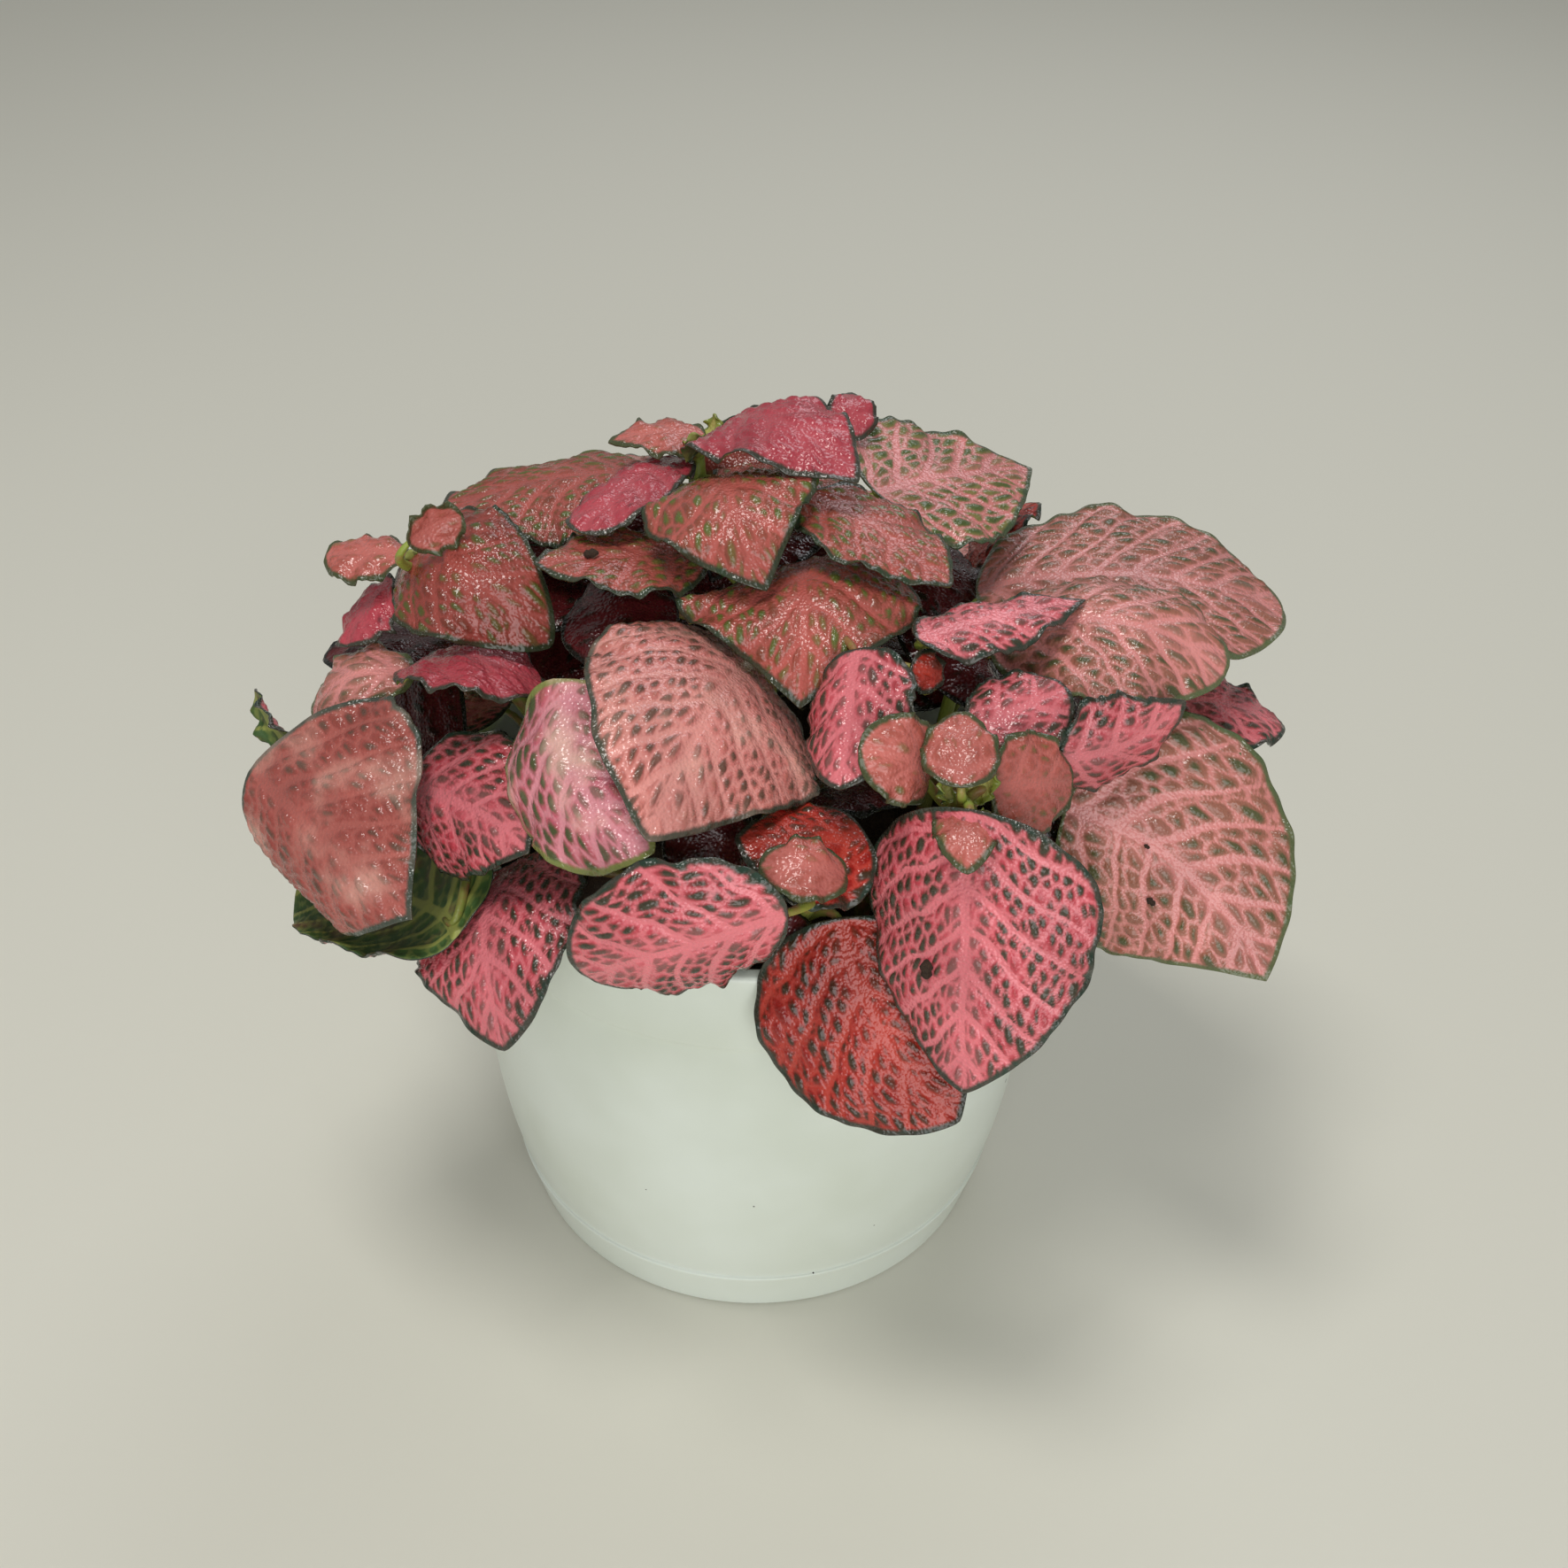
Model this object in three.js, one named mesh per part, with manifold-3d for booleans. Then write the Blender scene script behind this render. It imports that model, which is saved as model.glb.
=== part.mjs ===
// A potted nerve plant (Fittonia): a round plastic nursery pot, its potting soil, and twelve leafy
// stems whose leaves close into a low dome that hangs over the rim.
// Units are millimetres, +Z is up, and the origin is the centre of the pot's base. The side with
// the lowest hanging leaves faces -Y.
import * as THREE from "three";
import { mergeVertices } from "three/addons/utils/BufferGeometryUtils.js";
import Module from "manifold-3d";

const wasm = await Module();
wasm.setup();

// ---------------------------------------------------------------- driving dimensions

const POT = {
  height: 100,
  baseRadius: 50,
  footHeight: 12,
  footRadius: 52.6,
  footStep: 0.5,
  neckRadius: 56.8,
  lowerHandle: { outset: -0.2, rise: 16 },
  upperHandle: { outset: 1, rise: 40 },
  bodyRings: 4,
  rimHeight: 17.5,
  rimRadius: 58.2,
  rimWall: 1.9,
  stepSlope: 0.4,
  edgeRounding: 1,
  wall: 1.8,
  innerRings: [60, 30],
  floor: 3,
  floorCorner: 2,
  drainHoles: 6,
  drainRadius: 3.5,
  drainCircle: 33,
  drainSides: 10,
  sides: 40,
};
const SOIL = {
  top: 82,
  mound: 3,
  lump: 0.7,
  lumpWaves: [
    { x: 0.45, y: 0.21, shift: 0 },
    { x: -0.17, y: 0.52, shift: 1.3 },
  ],
  gap: 0.3,
  wallGap: 0.4,
  topGap: 0.9,
  edgeDrop: 0.5,
  rings: 4,
  sides: 28,
};
const STEM = {
  radius: 1.6,
  holeGap: 0.6,
  holeSides: 6,
  depthInSoil: 16,
  straightBelow: 4,
  upright: 6,
  sides: 5,
  steps: 6,
};
const PETIOLE = {
  radius: 0.85,
  sides: 4,
  steps: 3,
  belowLeaf: 3,
  droop: 0.35,
  lowestRoot: 98,
  rootChoices: 60,
  firstHandle: 0.35,
  lastHandle: { share: 0.4, longest: 7 },
  runUnderBlade: 0.15,
  sink: 0.6,
};
const BLADE = {
  thickness: 0.7,
  wavesAlongMargin: 3,
  waveShiftAcross: 1.9,
  waveSpread: 2.5,
};
const BUD = {
  leaves: 3,
  length: 7,
  width: 5.5,
  opening: 0.7,
  spacing: 1.1,
  turn: 0.3,
  smaller: 0.75,
  shape: { arch: -1, curl: [-25, -25], wave: 0.5, size: "bud" },
};

// Rows of points run from a leaf's base to its tip, columns from margin to margin.
const GRIDS = {
  large: { rows: 7, columns: 4 },
  small: { rows: 5, columns: 2 },
  rear: { rows: 6, columns: 2 },
  bud: { rows: 3, columns: 2 },
};

// A cutter for a hole runs this far past the faces that it cuts.
const OVERSHOOT = 5;
const WELD_TOLERANCE = 1e-4;
const NODE_PREFIX = "leafy_stem_";

// ---------------------------------------------------------------- the plan of the plant

// A leaf is given by the two ends of its midrib, its full width, and its roll about the midrib away
// from facing straight up. In its shape, arch lifts the middle of the midrib off the line between
// the ends and sweep moves it sideways, curl bends the two halves of the blade down, in degrees at
// the margin, round and point shape the blade towards its base and its tip, and wave is the height
// of the margin's waves. root is the height at which its petiole leaves the stem, where the usual
// height would not do.
function leaf(base, tip, width, roll, shape = {}) {
  const plain = { arch: 1, sweep: 0, curl: [25, 25], round: 0.5, point: 0.7, wave: 0.8 };
  return { base, tip, width, roll, size: "large", ...plain, ...shape };
}

// A stem starts at its hole in the soil, [x, y], and passes through the points after it.
const STEMS = {
  back_left: {
    path: [[-30, 2], [-44, 1, 112], [-61, 0, 143]],
    bud: { at: [-61, -1, 145], axis: [-0.25, 0.1, 1] },
    leaves: [
      leaf([-60, -14, 157], [-51, -10, 161], 10, -88, { curl: [30, 26], point: 0.45, size: "small" }),
      leaf([-63, -3, 148.5], [-78.5, 0, 146.5], 13, -17, { curl: [29, 49], point: 0.45, size: "small" }),
      leaf([-66, -2, 143], [-74, -11, 134], 16, 17,
        { sweep: 1.5, curl: [57, 40], point: 0.45, size: "small" }),
      leaf([-64, 3, 145.5], [-36, -19, 140.5], 28, 35, { arch: 12, sweep: -1, curl: [37, 25] }),
      leaf([-61, -16, 132], [-80, -18, 123], 19, -9,
        { arch: 5, sweep: 0.5, curl: [25, 23], point: 0.6, size: "small" }),
      leaf([-62, -18, 134.5], [-37, -25.5, 135.5], 26, -10,
        { arch: 5, sweep: 1, curl: [33, 3], point: 0.5 }),
      leaf([-55, 0.5, 128.5], [-81, -3.5, 126], 22, 2, { arch: 3, curl: [22, 22], size: "rear" }),
    ],
  },
  top: {
    path: [[-8, 14], [-10, 18, 120], [-13, 25, 155]],
    bud: { at: [-13, 25, 156], axis: [-0.2, 0.1, 1] },
    leaves: [
      leaf([-21, 23, 152.5], [-60, 15.5, 147], 36, 6, { sweep: 4, curl: [48, 24] }),
      leaf([-6, 8, 160], [1, -21, 154], 32, 12,
        { arch: 8.5, sweep: 2, curl: [15, 29], point: 0.9, wave: 1.5 }),
      leaf([-10.5, 23, 159.5], [16, -5.5, 166.5], 28, 13,
        { arch: 8.5, sweep: -0.5, curl: [44, -5], point: 0.8, wave: 1.6 }),
      leaf([-11.5, 27, 158.5], [-29.5, 22.5, 158.5], 16, -1,
        { arch: 1.5, curl: [21, 28], point: 0.95, size: "small" }),
      leaf([-16.5, 27, 153.5], [-32, -6.5, 156], 17, -3,
        { arch: 3, sweep: -0.5, curl: [-7, 62], point: 0.45 }),
      leaf([-2, 14.5, 143], [5.5, -1.5, 147], 26, 11, { arch: 3, size: "rear" }),
      leaf([-11, 19, 131.5], [-25.5, 1, 131], 28, -1, { arch: 3, curl: [22, 22], size: "rear" }),
    ],
  },
  top_right: {
    path: [[15, 14], [15, 14, 125], [14, 12, 154]],
    leaves: [
      leaf([8, 1, 161], [32, -18, 154], 26, -4, { sweep: -0.5, curl: [18, 2], point: 0.8 }),
      leaf([15, 21, 161], [14, 32, 165], 10, 10, { arch: 3, sweep: 0.5, curl: [25, 22], size: "small" }),
      leaf([19.5, 9, 157], [50.5, 31, 151], 36, 10, { sweep: -0.5, curl: [-7, 15], point: 1 }),
      leaf([21.5, 22, 115], [38.5, 1.5, 117], 26, 12, { arch: 3, curl: [22, 22], size: "rear" }),
      leaf([19.5, 16.5, 138.5], [40.5, 3.5, 133], 30, 5, { arch: 3, curl: [22, 22], size: "rear" }),
      leaf([18, 16, 122], [34.5, -1.5, 125], 26, 1, { arch: 3, curl: [22, 22], size: "rear" }),
    ],
  },
  centre: {
    path: [[2, -10], [2, -12, 115], [1, -9, 143]],
    leaves: [
      leaf([-1, -17, 136], [-16, -67, 137], 47, -34, { arch: 8.5, sweep: 4, curl: [19, 48], point: 0.8 }),
      leaf([-12, -1, 150], [-39, -14, 154], 24, 0, { sweep: -1.5, curl: [14, 14], point: 0.8 }),
      leaf([6.5, -3.5, 149.5], [7, -35, 140], 44, 11,
        { arch: 8, sweep: -2, curl: [51, 6], point: 1, wave: 1.6 }),
      leaf([16, -33, 151], [13.5, -55.5, 139], 22, 23, { sweep: -0.5, curl: [15, 55] }),
      leaf([25, -31.5, 147], [31, -30, 143], 8, 50, { curl: [12, 30], point: 0.8, size: "small" }),
      leaf([-14.5, -11, 143.5], [-35, -14.5, 139], 30, -11, { arch: 3, size: "rear" }),
      leaf([8, -15, 108], [27, -27, 114], 26, -10, { arch: 3, curl: [22, 22], size: "rear" }),
    ],
  },
  right: {
    path: [[32, -2], [34, -3, 112], [37, -4, 134]],
    leaves: [
      leaf([40, 25, 131], [53, 38, 140], 18, -30,
        { arch: 3, sweep: -0.5, curl: [41, 13], point: 0.45, size: "small" }),
      leaf([39, 6, 139], [96, 5, 137], 49, 4, { arch: 6, sweep: 0.5, curl: [7, 6], point: 0.55 }),
      leaf([40, -15, 139], [80, -22, 140], 37, 19,
        { arch: 7.5, sweep: -4, curl: [59, -6], point: 0.55, wave: 1.2 }),
      leaf([26, -30, 151], [56, -13, 149], 16, 3, { curl: [35, 29], point: 1 }),
      leaf([74, -11, 128], [96, -9, 121], 20, 4,
        { arch: 2.5, sweep: 1.5, curl: [9, 28], point: 0.75, size: "small" }),
      leaf([29, -25, 139], [38, -13, 138.5], 26, 23, { arch: 3, size: "rear" }),
      leaf([42, 8, 118], [68, 12, 108], 28, 0, { arch: 3, curl: [22, 22], size: "rear" }),
      leaf([49, 2, 112], [76, 4, 94], 32, 0, { arch: 4, curl: [22, 22], size: "rear" }),
      leaf([45, -16, 111], [66, -30, 93], 26, 0, { arch: 4, curl: [22, 22], size: "rear" }),
    ],
  },
  front_right: {
    path: [[20, -27], [27, -38, 112], [33, -56, 138]],
    bud: { at: [32.8, -55.5, 137.2], axis: [0.1, -0.5, 1] },
    leaves: [
      leaf([33.5, -62.5, 141.5], [35, -79, 96], 43, 34, { curl: [43, 37], point: 0.85 }),
      leaf([33, -57.5, 137], [33, -70.5, 135], 11, 3,
        { arch: 3.5, curl: [26, 33], point: 0.65, size: "small" }),
      leaf([28, -50, 137], [16, -55, 147], 15, -52,
        { arch: 4, sweep: 0.5, curl: [25, 7], point: 0.45, size: "small" }),
      leaf([32, -60, 143.5], [32, -48, 149.5], 13, -1, { curl: [27, 26], point: 0.65, size: "small" }),
      leaf([37, -55, 140], [52, -45, 134], 18, 61, { curl: [22, 26], point: 0.55, size: "small" }),
      leaf([35, -42, 141], [51, -32, 144], 18, 24,
        { sweep: 0.5, curl: [38, 20], point: 0.6, size: "small" }),
      leaf([49.5, -41.5, 135.5], [71, -33, 142.5], 20, 86, { sweep: 2, curl: [31, 37], point: 0.9 }),
      leaf([53, -36, 122], [89, -52, 97], 49, 50, { sweep: -5, curl: [17, 55], point: 1 }),
      leaf([45, -30, 123], [70, -20, 111], 35, 40, { arch: 3, size: "rear" }),
    ],
  },
  front_centre: {
    path: [[3, -36], [7, -46, 102], [12, -60, 124]],
    leaves: [
      leaf([18, -52, 128], [-3, -57, 130], 24, -20, { sweep: -2, curl: [25, 53], point: 0.85 }),
      leaf([15, -64, 129], [1, -65, 131], 12, -28,
        { arch: 3.5, sweep: -0.5, curl: [15, 36], point: 0.55, size: "small" }),
      leaf([6, -72, 127], [-26, -70, 111], 30, -93, { arch: 4.5, sweep: 4, curl: [41, 51], point: 0.55 }),
      leaf([15, -55.5, 112.5], [35.5, -75.5, 85.5], 40, 41, { sweep: 4, curl: [25, 24], point: 0.8 }),
      leaf([0, -52, 123], [-15, -54, 126], 30, -46, { arch: 3, size: "rear" }),
      leaf([8.5, -52.5, 110], [5.5, -52.5, 103], 29, -62, { arch: 3, size: "rear" }),
    ],
  },
  lower_left: {
    path: [[-18, -29], [-26, -32, 112], [-30, -36, 142]],
    leaves: [
      leaf([-43, -35, 105], [-41, -68, 91.5], 36, 33, { arch: 9, sweep: -2, curl: [25, 15], point: 0.75 }),
      leaf([-30, -38, 147], [-15, -66, 134], 31, 30, { sweep: 6, curl: [25, 54], point: 0.8, wave: 1.4 }),
      leaf([-46, -37, 101.5], [-60, -37, 83.5], 32, -50, { arch: 3, size: "rear", root: 106 }),
    ],
  },
  left: {
    path: [[-35, -14], [-50, -22, 108], [-84, -27, 116]],
    leaves: [
      leaf([-88.5, -29, 120.5], [-56, -58.5, 112], 52, 45,
        { arch: 2.5, curl: [12, 120], round: 0.8, point: 1.2 }),
      leaf([-49.5, -55.5, 106], [-85, -27, 92], 36, 147,
        { arch: 4.5, sweep: -4.5, curl: [15, 69], point: 0.45, wave: 1.4, root: 109 }),
      leaf([-60.5, -34, 120], [-36.5, -55, 124], 30, 45, { sweep: -2.5, curl: [42, 61], point: 0.9 }),
      leaf([-53.5, -16, 115.5], [-79.5, 3, 109], 31, -60, { arch: 3, size: "rear" }),
      leaf([-74, -33, 117], [-91, -25, 110], 18, 150,
        { curl: [20, 20], point: 0.6, wave: 1.2, size: "small" }),
      leaf([-83.5, -20, 118], [-93, -7.5, 122], 8, 100,
        { arch: -1, curl: [70, 70], point: 0.8, size: "small" }),
      leaf([-49, 8, 109], [-74, 14, 92], 30, 0, { arch: 4, curl: [22, 22], size: "rear" }),
      leaf([-49.5, -14, 106.5], [-70, -17.5, 87.5], 28, -2, { arch: 4, curl: [22, 22], size: "rear" }),
    ],
  },
  rear_left: {
    path: [[-24, 24], [-30, 28, 108], [-35, 27, 130]],
    leaves: [
      leaf([-37, 20, 130], [-81.5, 22, 111], 38, 15,
        { arch: 3.5, curl: [22, 22], point: 0.75, size: "rear" }),
      leaf([-32, 27, 136], [-62, 50, 117], 40, 16,
        { arch: 3.5, curl: [22, 22], point: 0.75, size: "rear" }),
      leaf([-29, 45, 122], [-48, 67, 98], 42, 20, { arch: 3.5, curl: [22, 22], point: 0.75, size: "rear" }),
      leaf([-57, 27.5, 116.5], [-77, 39.5, 94.5], 38, 6,
        { arch: 3.5, curl: [22, 22], point: 0.75, size: "rear" }),
      leaf([-39, 21, 109.5], [-52.5, 7.5, 112.5], 30, -11, { arch: 3, curl: [22, 22], size: "rear" }),
      leaf([-32.5, 25, 124.5], [-45.5, 3, 114.5], 34, 1, { arch: 3, curl: [22, 22], size: "rear" }),
      leaf([-33, 24, 129.5], [-47.5, 3, 130.5], 30, -4, { arch: 3, curl: [22, 22], size: "rear" }),
      leaf([-30, 32, 145], [-46, 52, 134], 28, 0, { arch: 3, curl: [22, 22], size: "rear" }),
    ],
  },
  rear: {
    path: [[0, 32], [0, 38, 112], [-3, 36, 136]],
    leaves: [
      leaf([-9, 37, 139], [-22, 71, 119], 40, 15, { arch: 3.5, curl: [22, 22], point: 0.75, size: "rear" }),
      leaf([-7, 53, 121], [-11, 79, 95], 42, 12, { arch: 3.5, curl: [22, 22], point: 0.75, size: "rear" }),
      leaf([19, 50, 122], [28, 76, 98], 42, 7, { arch: 3.5, curl: [22, 22], point: 0.75, size: "rear" }),
      leaf([4.5, 12, 151.5], [3, 45.5, 143], 30, 7,
        { arch: 3.5, curl: [22, 22], point: 0.75, size: "rear" }),
    ],
  },
  rear_right: {
    path: [[26, 22], [32, 28, 110], [30, 30, 134]],
    leaves: [
      leaf([16, 38, 138], [29, 72, 117], 40, 6, { arch: 3.5, curl: [22, 22], point: 0.75, size: "rear" }),
      leaf([34, 36, 128], [68, 50.5, 110], 40, -7,
        { arch: 3.5, curl: [22, 22], point: 0.75, size: "rear" }),
      leaf([45, 42, 119], [62, 61, 95], 42, 4, { arch: 3.5, curl: [22, 22], point: 0.75, size: "rear" }),
      leaf([63, 25, 116], [86, 32, 95], 38, 0, { arch: 3.5, curl: [22, 22], point: 0.75, size: "rear" }),
    ],
  },
};

// ---------------------------------------------------------------- solids and meshes

function toSolid(geometry) {
  const plain = geometry.clone();
  plain.deleteAttribute("normal");
  plain.deleteAttribute("uv");
  const merged = mergeVertices(plain, WELD_TOLERANCE);
  const mesh = new wasm.Mesh({
    numProp: 3,
    vertProperties: new Float32Array(merged.attributes.position.array),
    triVerts: new Uint32Array(merged.index.array),
  });
  return new wasm.Manifold(mesh);
}

function toMesh(solid, name, material) {
  const { vertProperties, triVerts } = solid.getMesh();
  const geometry = new THREE.BufferGeometry();
  geometry.setAttribute("position", new THREE.BufferAttribute(vertProperties, 3));
  geometry.setIndex(new THREE.BufferAttribute(triVerts, 1));
  geometry.computeVertexNormals();
  const mesh = new THREE.Mesh(geometry, material);
  mesh.name = name;
  return mesh;
}

function joinAll(solids) {
  return solids.reduce((joined, next) => joined.add(next));
}

function uprightCylinder(radius, bottom, top, sides, x, y) {
  const cylinder = new THREE.CylinderGeometry(radius, radius, top - bottom, sides);
  cylinder.rotateX(Math.PI / 2);
  cylinder.translate(x, y, (top + bottom) / 2);
  return toSolid(cylinder);
}

// A closed solid turned about Z from a profile of [radius, height] points, bottom first.
function turned(points, sides) {
  const profile = points.map(([radius, height]) => new THREE.Vector2(radius, height));
  const lathe = new THREE.LatheGeometry(profile, sides);
  lathe.rotateX(Math.PI / 2);
  return lathe;
}

function tube(curve, radius, sides, steps) {
  const round = new THREE.Shape();
  round.setFromPoints(
    Array.from({ length: sides }, (_, k) => {
      const angle = (2 * Math.PI * k) / sides;
      return new THREE.Vector2(radius * Math.cos(angle), radius * Math.sin(angle));
    }),
  );
  return toSolid(new THREE.ExtrudeGeometry(round, { steps, bevelEnabled: false, extrudePath: curve }));
}

// ---------------------------------------------------------------- pot

// The pot's outer wall swells from the foot to the neck just below the rim band.
function bodyCurve() {
  const { lowerHandle, upperHandle } = POT;
  return new THREE.CubicBezierCurve(
    new THREE.Vector2(POT.footRadius - POT.footStep, POT.footHeight),
    new THREE.Vector2(POT.neckRadius + lowerHandle.outset, POT.footHeight + lowerHandle.rise),
    new THREE.Vector2(POT.neckRadius + upperHandle.outset, POT.footHeight + upperHandle.rise),
    new THREE.Vector2(POT.neckRadius, POT.height - POT.rimHeight),
  );
}

function innerRadiusAt(height) {
  const body = bodyCurve();
  const low = new THREE.Vector2(POT.baseRadius, 0);
  const points = [low, ...body.getPoints(12), new THREE.Vector2(POT.neckRadius, POT.height)];
  const above = points.findIndex((point) => point.y >= height);
  const [a, b] = [points[above - 1], points[above]];
  return a.x + ((b.x - a.x) * (height - a.y)) / (b.y - a.y) - POT.wall;
}

function makePot() {
  const neckHeight = POT.height - POT.rimHeight;
  const round = POT.edgeRounding;
  const outer = [
    [0, 0],
    [POT.baseRadius - round, 0],
    [POT.baseRadius, round],
    [POT.footRadius, POT.footHeight - POT.stepSlope],
    ...bodyCurve()
      .getPoints(POT.bodyRings)
      .map((point) => [point.x, point.y]),
    [POT.rimRadius, neckHeight + POT.stepSlope],
    [POT.rimRadius, POT.height - round],
    [POT.rimRadius - round / 2, POT.height],
    [POT.rimRadius - POT.rimWall, POT.height],
  ];
  const innerHeights = [
    POT.height - round,
    ...POT.innerRings,
    POT.footHeight,
    POT.floor + POT.floorCorner,
  ];
  const inner = innerHeights.map((height) => [innerRadiusAt(height), height]);
  const floor = [
    [innerRadiusAt(POT.floor) - POT.floorCorner, POT.floor],
    [0, POT.floor],
  ];
  let pot = toSolid(turned([...outer, ...inner, ...floor], POT.sides));
  for (let k = 0; k < POT.drainHoles; k += 1) {
    const angle = (2 * Math.PI * (k + 0.5)) / POT.drainHoles;
    const [x, y] = [POT.drainCircle * Math.cos(angle), POT.drainCircle * Math.sin(angle)];
    const [low, high] = [-OVERSHOOT, POT.floor + OVERSHOOT];
    pot = pot.subtract(uprightCylinder(POT.drainRadius, low, high, POT.drainSides, x, y));
  }
  return pot;
}

// ---------------------------------------------------------------- soil

// The soil's surface is mounded in the middle and lumpy.
function soilHeight(x, y) {
  const out = Math.hypot(x, y) / innerRadiusAt(SOIL.top);
  const waves = SOIL.lumpWaves.map((wave) => Math.sin(x * wave.x + y * wave.y + wave.shift));
  const lumps = SOIL.lump * (waves[0] + waves[1]) * (1 - out ** 6);
  return SOIL.top + SOIL.mound * (1 - out ** 2) + lumps;
}

function makeSoil() {
  const bottom = POT.floor + SOIL.gap;
  const edge = innerRadiusAt(SOIL.top) - SOIL.topGap;
  const rings = [...POT.innerRings].reverse();
  const wall = [bottom + POT.floorCorner, POT.footHeight, ...rings, SOIL.top - SOIL.edgeDrop];
  const profile = [
    [0, bottom],
    [innerRadiusAt(POT.floor) - POT.floorCorner - SOIL.gap, bottom],
    ...wall.map((height) => [innerRadiusAt(height) - SOIL.wallGap, height]),
  ];
  for (let ring = 0; ring <= SOIL.rings; ring += 1) {
    profile.push([edge * (1 - ring / SOIL.rings), SOIL.top]);
  }
  const lathe = turned(profile, SOIL.sides);
  const position = lathe.attributes.position;
  for (let i = 0; i < position.count; i += 1) {
    if (position.getZ(i) > SOIL.top - SOIL.edgeDrop / 2) {
      position.setZ(i, soilHeight(position.getX(i), position.getY(i)));
    }
  }
  let soil = toSolid(lathe);
  const holeRadius = STEM.radius + STEM.holeGap;
  for (const { path } of Object.values(STEMS)) {
    const [x, y] = path[0];
    const holeBottom = SOIL.top - STEM.depthInSoil - SOIL.gap;
    const hole = uprightCylinder(holeRadius, holeBottom, POT.height, STEM.holeSides, x, y);
    soil = soil.subtract(hole);
  }
  return soil;
}

// ---------------------------------------------------------------- leaves

// Half-widths along the leaf run from 0 at the base through 1 to 0 at the tip.
function outline(s, round, point) {
  const widest = round / (round + point);
  const most = widest ** round * (1 - widest) ** point;
  return (Math.max(s, 0) ** round * Math.max(1 - s, 0) ** point) / most;
}

// The blade's middle surface: s runs 0 to 1 from base to tip, t runs -1 to 1 from margin to margin.
function bladeFunction(plan) {
  const base = new THREE.Vector3(...plan.base);
  const tip = new THREE.Vector3(...plan.tip);
  const along = tip.clone().sub(base).normalize();
  const up = new THREE.Vector3(0, 0, 1).addScaledVector(along, -along.z).normalize();
  const face = up.applyAxisAngle(along, THREE.MathUtils.degToRad(plan.roll));
  const side = along.clone().cross(face);
  const middle = base.clone().add(tip).multiplyScalar(0.5);
  middle.addScaledVector(face, 2 * plan.arch).addScaledVector(side, 2 * plan.sweep);
  const midrib = new THREE.QuadraticBezierCurve3(base, middle, tip);
  const curls = plan.curl.map((angle) => THREE.MathUtils.degToRad(angle));

  return (s, t) => {
    const forward = midrib.getTangent(s);
    const normal = face.clone().addScaledVector(forward, -face.dot(forward)).normalize();
    const across = forward.clone().cross(normal);
    const fullness = outline(s, plan.round, plan.point);
    const reach = (plan.width / 2) * fullness * Math.abs(t);
    const bend = (t < 0 ? curls[0] : curls[1]) * Math.abs(t) * fullness;
    const safeBend = Math.abs(bend) < 1e-6 ? 1e-6 : bend;
    const outward = (reach * Math.sin(safeBend)) / safeBend;
    const drop = (reach * (1 - Math.cos(safeBend))) / safeBend;
    const phase = 2 * Math.PI * BLADE.wavesAlongMargin * s + (t > 0 ? BLADE.waveShiftAcross : 0);
    const calm = Math.min(1, fullness * 1.5);
    const wave = plan.wave * Math.abs(t) ** BLADE.waveSpread * Math.sin(phase) * calm;
    const point = midrib.getPoint(s);
    point.addScaledVector(across, outward * Math.sign(t)).addScaledVector(normal, wave - drop);
    const facing = normal.clone().multiplyScalar(Math.cos(bend));
    facing.addScaledVector(across, Math.sin(bend) * Math.sign(t));
    return { point, facing, forward };
  };
}

// The two faces of a blade are the same grid moved half the thickness either way, and are joined
// round the margin. The end rows close to one point on each face.
function bladeSolid(plan) {
  const { rows, columns } = GRIDS[plan.size];
  const surface = bladeFunction(plan);
  const positions = [];
  const corner = { top: [], bottom: [] };
  for (let i = 0; i <= rows; i += 1) {
    const s = (1 - Math.cos((Math.PI * i) / rows)) / 2;
    const isEnd = i === 0 || i === rows;
    for (const [name, shift] of [["top", BLADE.thickness / 2], ["bottom", -BLADE.thickness / 2]]) {
      const row = [];
      for (let j = 0; j <= columns; j += 1) {
        if (isEnd && j > 0) {
          row.push(row[0]);
        } else {
          const t = isEnd ? 0 : (2 * j) / columns - 1;
          const { point, facing } = surface(s, t);
          point.addScaledVector(facing, shift);
          row.push(positions.length / 3);
          positions.push(point.x, point.y, point.z);
        }
      }
      corner[name].push(row);
    }
  }
  const triangles = [];
  const addTriangle = (a, b, c) => {
    if (a !== b && b !== c && c !== a) {
      triangles.push(a, b, c);
    }
  };
  const { top, bottom } = corner;
  for (let i = 0; i < rows; i += 1) {
    for (let j = 0; j < columns; j += 1) {
      addTriangle(top[i][j], top[i][j + 1], top[i + 1][j + 1]);
      addTriangle(top[i][j], top[i + 1][j + 1], top[i + 1][j]);
      addTriangle(bottom[i][j], bottom[i + 1][j + 1], bottom[i][j + 1]);
      addTriangle(bottom[i][j], bottom[i + 1][j], bottom[i + 1][j + 1]);
    }
    addTriangle(top[i][columns], bottom[i][columns], bottom[i + 1][columns]);
    addTriangle(top[i][columns], bottom[i + 1][columns], top[i + 1][columns]);
    addTriangle(top[i][0], bottom[i + 1][0], bottom[i][0]);
    addTriangle(top[i][0], top[i + 1][0], bottom[i + 1][0]);
  }
  const geometry = new THREE.BufferGeometry();
  geometry.setAttribute("position", new THREE.Float32BufferAttribute(positions, 3));
  geometry.setIndex(triangles);
  return toSolid(geometry);
}

// ---------------------------------------------------------------- stems

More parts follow.
